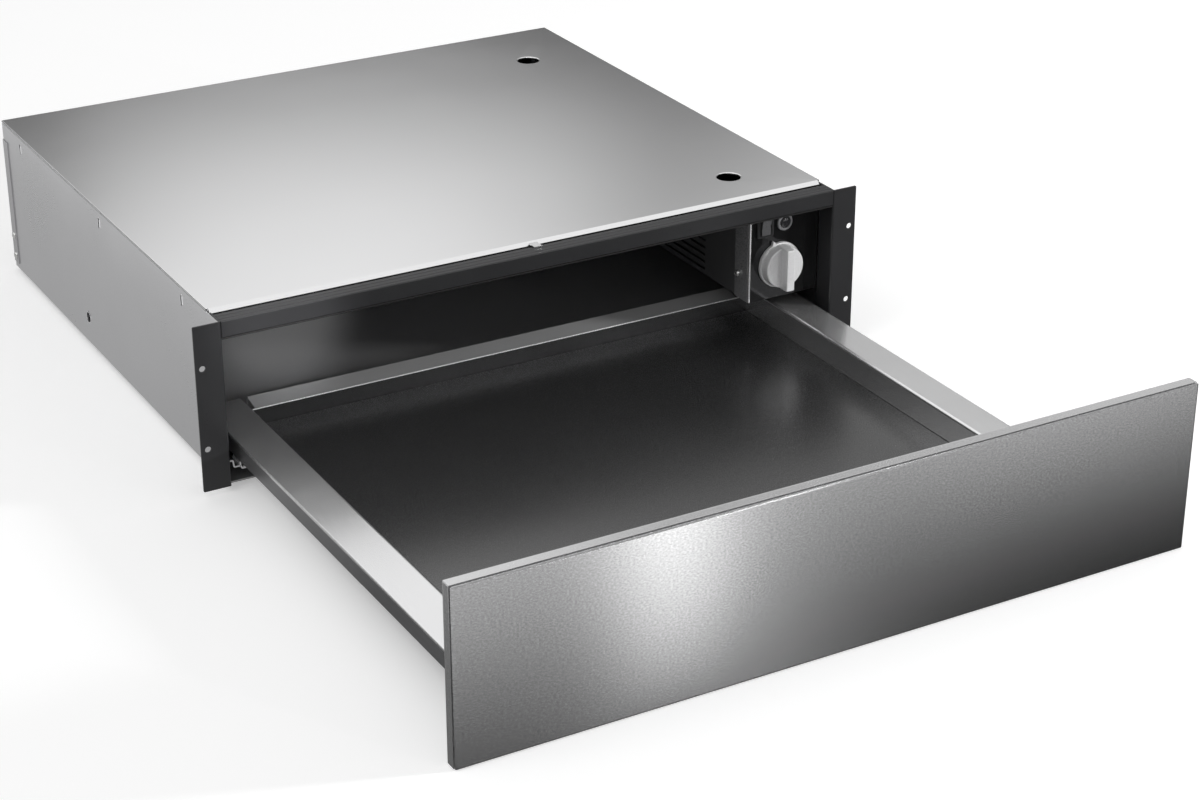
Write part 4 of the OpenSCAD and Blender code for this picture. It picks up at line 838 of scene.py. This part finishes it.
def board(*rows, loop=False):
    """The front's outline, skinned over (depth, inset) rows."""
    return loft([[(x, y, z) for x, z in rounded_rectangle((face_low.x + inset, face_low.z + inset),
                                                          (face_high.x - inset, face_high.z - inset), 0.9, 4)]
                 for y, inset in rows], loop=loop)


fit("steel_face", board((-680, 1.8), (-679.95, 1.65), (-679.2, 0.5), (-679.1, 0.35), (-678.95, 0.35),
                        (-678.85, 0.5), (-678.8, 1.2)), face_brushed, "front_face", crease=60)
fit("board_frame", board((-678.8, 2.8), (-677.2, 2.8), (-677.1, 0.1), (-677, 0), (-670.1, 0), (-670, 0.15),
                         (-670, 4), (-678.8, 4), loop=True), board_grey, "front_frame")
fit("board_back", board((-670, 0.15), (-669.85, 0), (-669.2, 0), (-669, 0.2)), board_grey, "front_back")


# Buffers, angles and screws behind the front: four rubber buffers that meet the flanges, an
# angle at each side of the tray, and five screws through the tray's front wall. The latch's
# strike hangs under the tray's rear.
buffer_rubber = finish_of("buffer_rubber", (0.014, 0.014, 0.014), 0.5, fineness=1600, relief=0.03)
buffers = together(*(stand(turned([(0.02, 3.3), (2.4, 3.3), (3.4, 3.1), (4.1, 2.5), (4.4, 1.6), (4.5, 0),
                                   (0.02, 0)], 36), (x, -669, z), (0, 1, 0))
                     for x in (-279.1, 279.1) for z in (19.5, 104.8)))
fit("rubber_buffers", buffers, buffer_rubber, "front_buffers")
angle_low, angle_high = box_mm("front_bracket_left")
bend_x, bend_y = angle_high.x - TRAY / 2, angle_low.y + TRAY / 2
angle_path = [(bend_x, angle_high.y), (bend_x, bend_y), (angle_low.x, bend_y)]
section = drawn(angle_path, TRAY, "X", angle_low.z, angle_high.z)
fit_both("front_angle", laid(section, (0, 0, 0), (0, 0, 1), (1, 0, 0), (0, 1, 0)), runner_zinc,
         "front_bracket")
tray_screws = together(*(stand(pan_screw(6.4, 1.4, 3.4), (231.5 * share, -667.4, 23.6), (0, 1, 0))
                         for share in (-0.8, -0.4, 0, 0.4, 0.8)))
fit("tray_front_screws", tray_screws, screw_zinc, "drawer_screws")
strike_low, strike_high = box_mm("latch_strike")
STRIKE = 1.2
bend_y, bend_z = strike_high.y - STRIKE / 2, strike_high.z - STRIKE / 2
strike_path = [(strike_low.y, bend_z), (bend_y, bend_z), (bend_y, strike_low.z)]
fit("strike_angle", drawn(strike_path, STRIKE, "X", strike_low.x, strike_high.x), clip_steel, "latch_strike")


# Setting: a plain pale floor under a soft white studio, whose light falls away to a dim room
# near the horizon. The metal also sees, in its reflections only, a glowing card on the floor: a
# painted reflection, with a painted shadow darkest at the foot of the drawer front and a painted
# streak of light on it. The camera has the photograph's place and lens.
FLOOR_Z = face_low.z / 1000


def level_card(name, size, height, paint):
    """A level plane, of a size in metres, with a new material."""
    shape = bmesh.new()
    bmesh.ops.create_grid(shape, x_segments=1, y_segments=1, size=size / 2)
    card = put_in(name, as_mesh(name, shape))
    card.location.z = height
    card.data.materials.append(bpy.data.materials.new(paint))
    return card


def bare_tree(block):
    """The emptied shader tree of a material or a world."""
    block.use_nodes = True
    block.node_tree.nodes.clear()
    return block.node_tree


def shaded(tree, value, *stops):
    """A grey that follows a value from 0 to 1 through (position, grey) stops."""
    made = node_of(tree, "ShaderNodeValToRGB", Fac=value)
    ramp = made.color_ramp
    for element, (position, grey) in zip(ramp.elements, (stops[0], stops[-1])):
        element.position, element.color = position, (grey, grey, grey, 1)
    for position, grey in stops[1:-1]:
        ramp.elements.new(position).color = (grey, grey, grey, 1)
    return made.outputs["Color"]


def mixed(tree, share, first, second):
    """A grey between two others."""
    return node_of(tree, "ShaderNodeMix", {"data_type": "RGBA"}, _0=share, _6=first, _7=second).outputs[2]


floor = level_card("floor", 24, FLOOR_Z, "pale_floor")
tree = bare_tree(floor.active_material)
seen = node_of(tree, "ShaderNodeLightPath").outputs
where = node_of(tree, "ShaderNodeTexCoord").outputs["Object"]
distance = node_of(tree, "ShaderNodeVectorMath", {"operation": "LENGTH"}, _0=where).outputs["Value"]
matt = node_of(tree, "ShaderNodeBsdfDiffuse", Color=(0.9, 0.9, 0.9, 1)).outputs[0]
lift = node_of(tree, "ShaderNodeEmission", Strength=spread(tree, distance, 1.3, 2.8, 0.3, 1.0)).outputs[0]
lit = node_of(tree, "ShaderNodeAddShader", _0=matt, _1=lift).outputs[0]
shown = maths(tree, "MAXIMUM", seen["Is Camera Ray"], seen["Is Glossy Ray"])
shown = maths(tree, "MAXIMUM", shown, seen["Is Transmission Ray"])
split = node_of(tree, "ShaderNodeMixShader", _0=shown, _1=matt, _2=lit).outputs[0]
node_of(tree, "ShaderNodeOutputMaterial", Surface=split)

# a glowing card seen only in reflections, not a lit cloth: its grey pattern is a painted reflection
reflection_card = level_card("glowing_reflection_card", 6, FLOOR_Z + 0.0004, "glowing_reflection_card")
reflection_card.visible_camera = reflection_card.visible_diffuse = reflection_card.visible_transmission = reflection_card.visible_shadow = False
tree = bare_tree(reflection_card.active_material)
where = node_of(tree, "ShaderNodeTexCoord").outputs["Object"]
x, y, z = node_of(tree, "ShaderNodeSeparateXYZ", _0=where).outputs
along = spread(tree, maths(tree, "MULTIPLY_ADD", x, 0.1, y), -1.2, 0.0)
across = spread(tree, x, -0.6, 0.6)
away = shaded(tree, along, (0.167, 1.0), (0.25, 0.58), (0.278, 0.33), (0.345, 0.055), (0.40, 0.0))
# painted shadow: the card is darkest along the foot of the drawer front
foot = shaded(tree, across, (0.0, 0.9), (0.06, 0.9), (0.14, 0.15), (0.3, 0.085), (0.5, 0.035), (1.0, 0.0))
ahead = shaded(tree, across, (0.0, 1.0), (0.06, 1.0), (0.14, 0.95), (0.35, 0.95), (0.43, 0.78),
               (0.58, 0.54), (0.68, 0.6), (0.78, 1.2), (1.0, 1.25))
behind = shaded(tree, across, (0.0, 1.0), (0.06, 1.0), (0.14, 0.5), (0.4, 0.45), (0.75, 0.08))
back = shaded(tree, along, (0.0, 0.0), (0.6, 0.0), (0.75, 0.9), (1.0, 1.0))
grey = mixed(tree, back, mixed(tree, away, foot, ahead), behind)
# painted highlight: a soft streak of light across the card
streak = maths(tree, "ADD", maths(tree, "MULTIPLY_ADD", y, 0.61, 0.56), x)
streak = maths(tree, "POWER", maths(tree, "DIVIDE", streak, 0.05), 2)
streak = maths(tree, "EXPONENT", maths(tree, "MULTIPLY", streak, -1))
reach = shaded(tree, along, (0.2, 1.0), (0.28, 0.9), (0.345, 0.35), (0.41, 0.06), (0.43, 0.0))
streak = maths(tree, "MULTIPLY", streak, reach)
glow = node_of(tree, "ShaderNodeEmission", Strength=maths(tree, "MULTIPLY_ADD", streak, 1.45, grey))
node_of(tree, "ShaderNodeOutputMaterial", Surface=glow.outputs[0])

studio = bpy.data.worlds.new("studio")
bpy.context.scene.world = studio
tree = bare_tree(studio)
seen = node_of(tree, "ShaderNodeLightPath").outputs
where = node_of(tree, "ShaderNodeTexCoord").outputs["Generated"]
x, y, z = node_of(tree, "ShaderNodeSeparateXYZ", _0=where).outputs
rise = shaded(tree, maths(tree, "MULTIPLY", z, 2), (0.0, 0.5), (0.3, 0.45), (0.44, 0.06), (0.57, 0.06),
              (0.6, 0.13), (0.62, 0.24), (0.64, 0.376), (0.66, 0.53), (0.68, 0.68), (0.7, 0.81),
              (0.72, 0.9), (0.75, 0.97), (0.79, 1.0), (0.97, 1.05))
rise = maths(tree, "MULTIPLY", rise, spread(tree, z, 0.6, 0.72, 1.0, 2.0))
turn = spread(tree, maths(tree, "ARCTAN2", x, y), 0.0, pi)
lower = shaded(tree, turn, (0.0, 0.35), (0.094, 0.38), (0.101, 0.67), (0.107, 0.82), (0.114, 0.92),
               (0.122, 0.98), (0.133, 1.0), (0.144, 0.95), (0.156, 0.825), (0.161, 0.73), (0.167, 0.61),
               (0.172, 0.52), (0.178, 0.53), (0.192, 0.75), (0.2, 0.78), (0.33, 0.5), (1.0, 0.5))
upper = shaded(tree, turn, (0.0, 1.0), (0.139, 1.0), (0.158, 0.74), (0.172, 0.44), (0.2, 0.42),
               (0.211, 0.42), (0.217, 0.6), (0.24, 0.8), (0.33, 0.5), (1.0, 0.5))
side = mixed(tree, spread(tree, z, 0.37, 0.42), lower, upper)
level = maths(tree, "MINIMUM", maths(tree, "MULTIPLY", rise, side), 1.0)
white, mirror_view, soft = (
    node_of(tree, "ShaderNodeBackground", Color=(1, 1, 1, 1), Strength=strength).outputs[0]
    for strength in (1.0, level, 0.58))
bright = maths(tree, "MAXIMUM", seen["Is Glossy Ray"], seen["Is Transmission Ray"])
inner = node_of(tree, "ShaderNodeMixShader", _0=bright, _1=soft, _2=mirror_view).outputs[0]
outer = node_of(tree, "ShaderNodeMixShader", _0=seen["Is Camera Ray"], _1=inner, _2=white).outputs[0]
node_of(tree, "ShaderNodeOutputWorld", Surface=outer)


def lamp(name, kind, at, towards, power):
    light = bpy.data.lights.new(name, kind)
    light.energy = power
    holder = put_in(name, light)
    holder.location = at
    holder.rotation_euler = (Vector(towards) - Vector(at)).to_track_quat("-Z", "Y").to_euler()
    holder.visible_camera = False
    return holder


def soft_pane(name, at, towards, size, power):
    pane = lamp(name, "AREA", at, towards, power)
    pane.data.shape = "RECTANGLE"
    pane.data.size, pane.data.size_y = size
    return pane


soft_pane("high_left", (-1.6, -0.6, 2.2), (0, -0.2, 0.1), (1.2, 1.2), 10)
soft_pane("tall_window", (4.18, -8.9, 1.7), (0, -0.4, 0.1), (0.35, 3.4), 60)
low_right = soft_pane("low_right", (2.71, -1.71, 0.715), (-0.1, -0.15, 0.05), (0.3, 0.3), 70)
low_right.visible_glossy = False
beam = lamp("into_casing", "SPOT", (-0.87, -1.96, 0.87), (-0.117, 0.032, 0), 240).data
beam.shadow_soft_size, beam.spot_size, beam.spot_blend = 0.02, radians(3.6), 0.8

view = bpy.data.cameras.new("camera")
view.lens, view.sensor_width, view.clip_end = 79.76, 36, 50
camera = put_in("camera", view)
AZIMUTH, ELEVATION, ROLL = radians(-29.471), radians(25.507), radians(-0.081)
backwards = Vector((sin(AZIMUTH) * cos(ELEVATION), -cos(AZIMUTH) * cos(ELEVATION), sin(ELEVATION)))
aim = backwards.to_track_quat("Z", "Y").to_matrix() @ Matrix.Rotation(ROLL, 3, "Z")
camera.rotation_euler = aim.to_euler()
camera.location = (-0.9129, -1.9563, 0.9303)
bpy.context.scene.camera = camera
bpy.context.scene.view_settings.view_transform = "Standard"
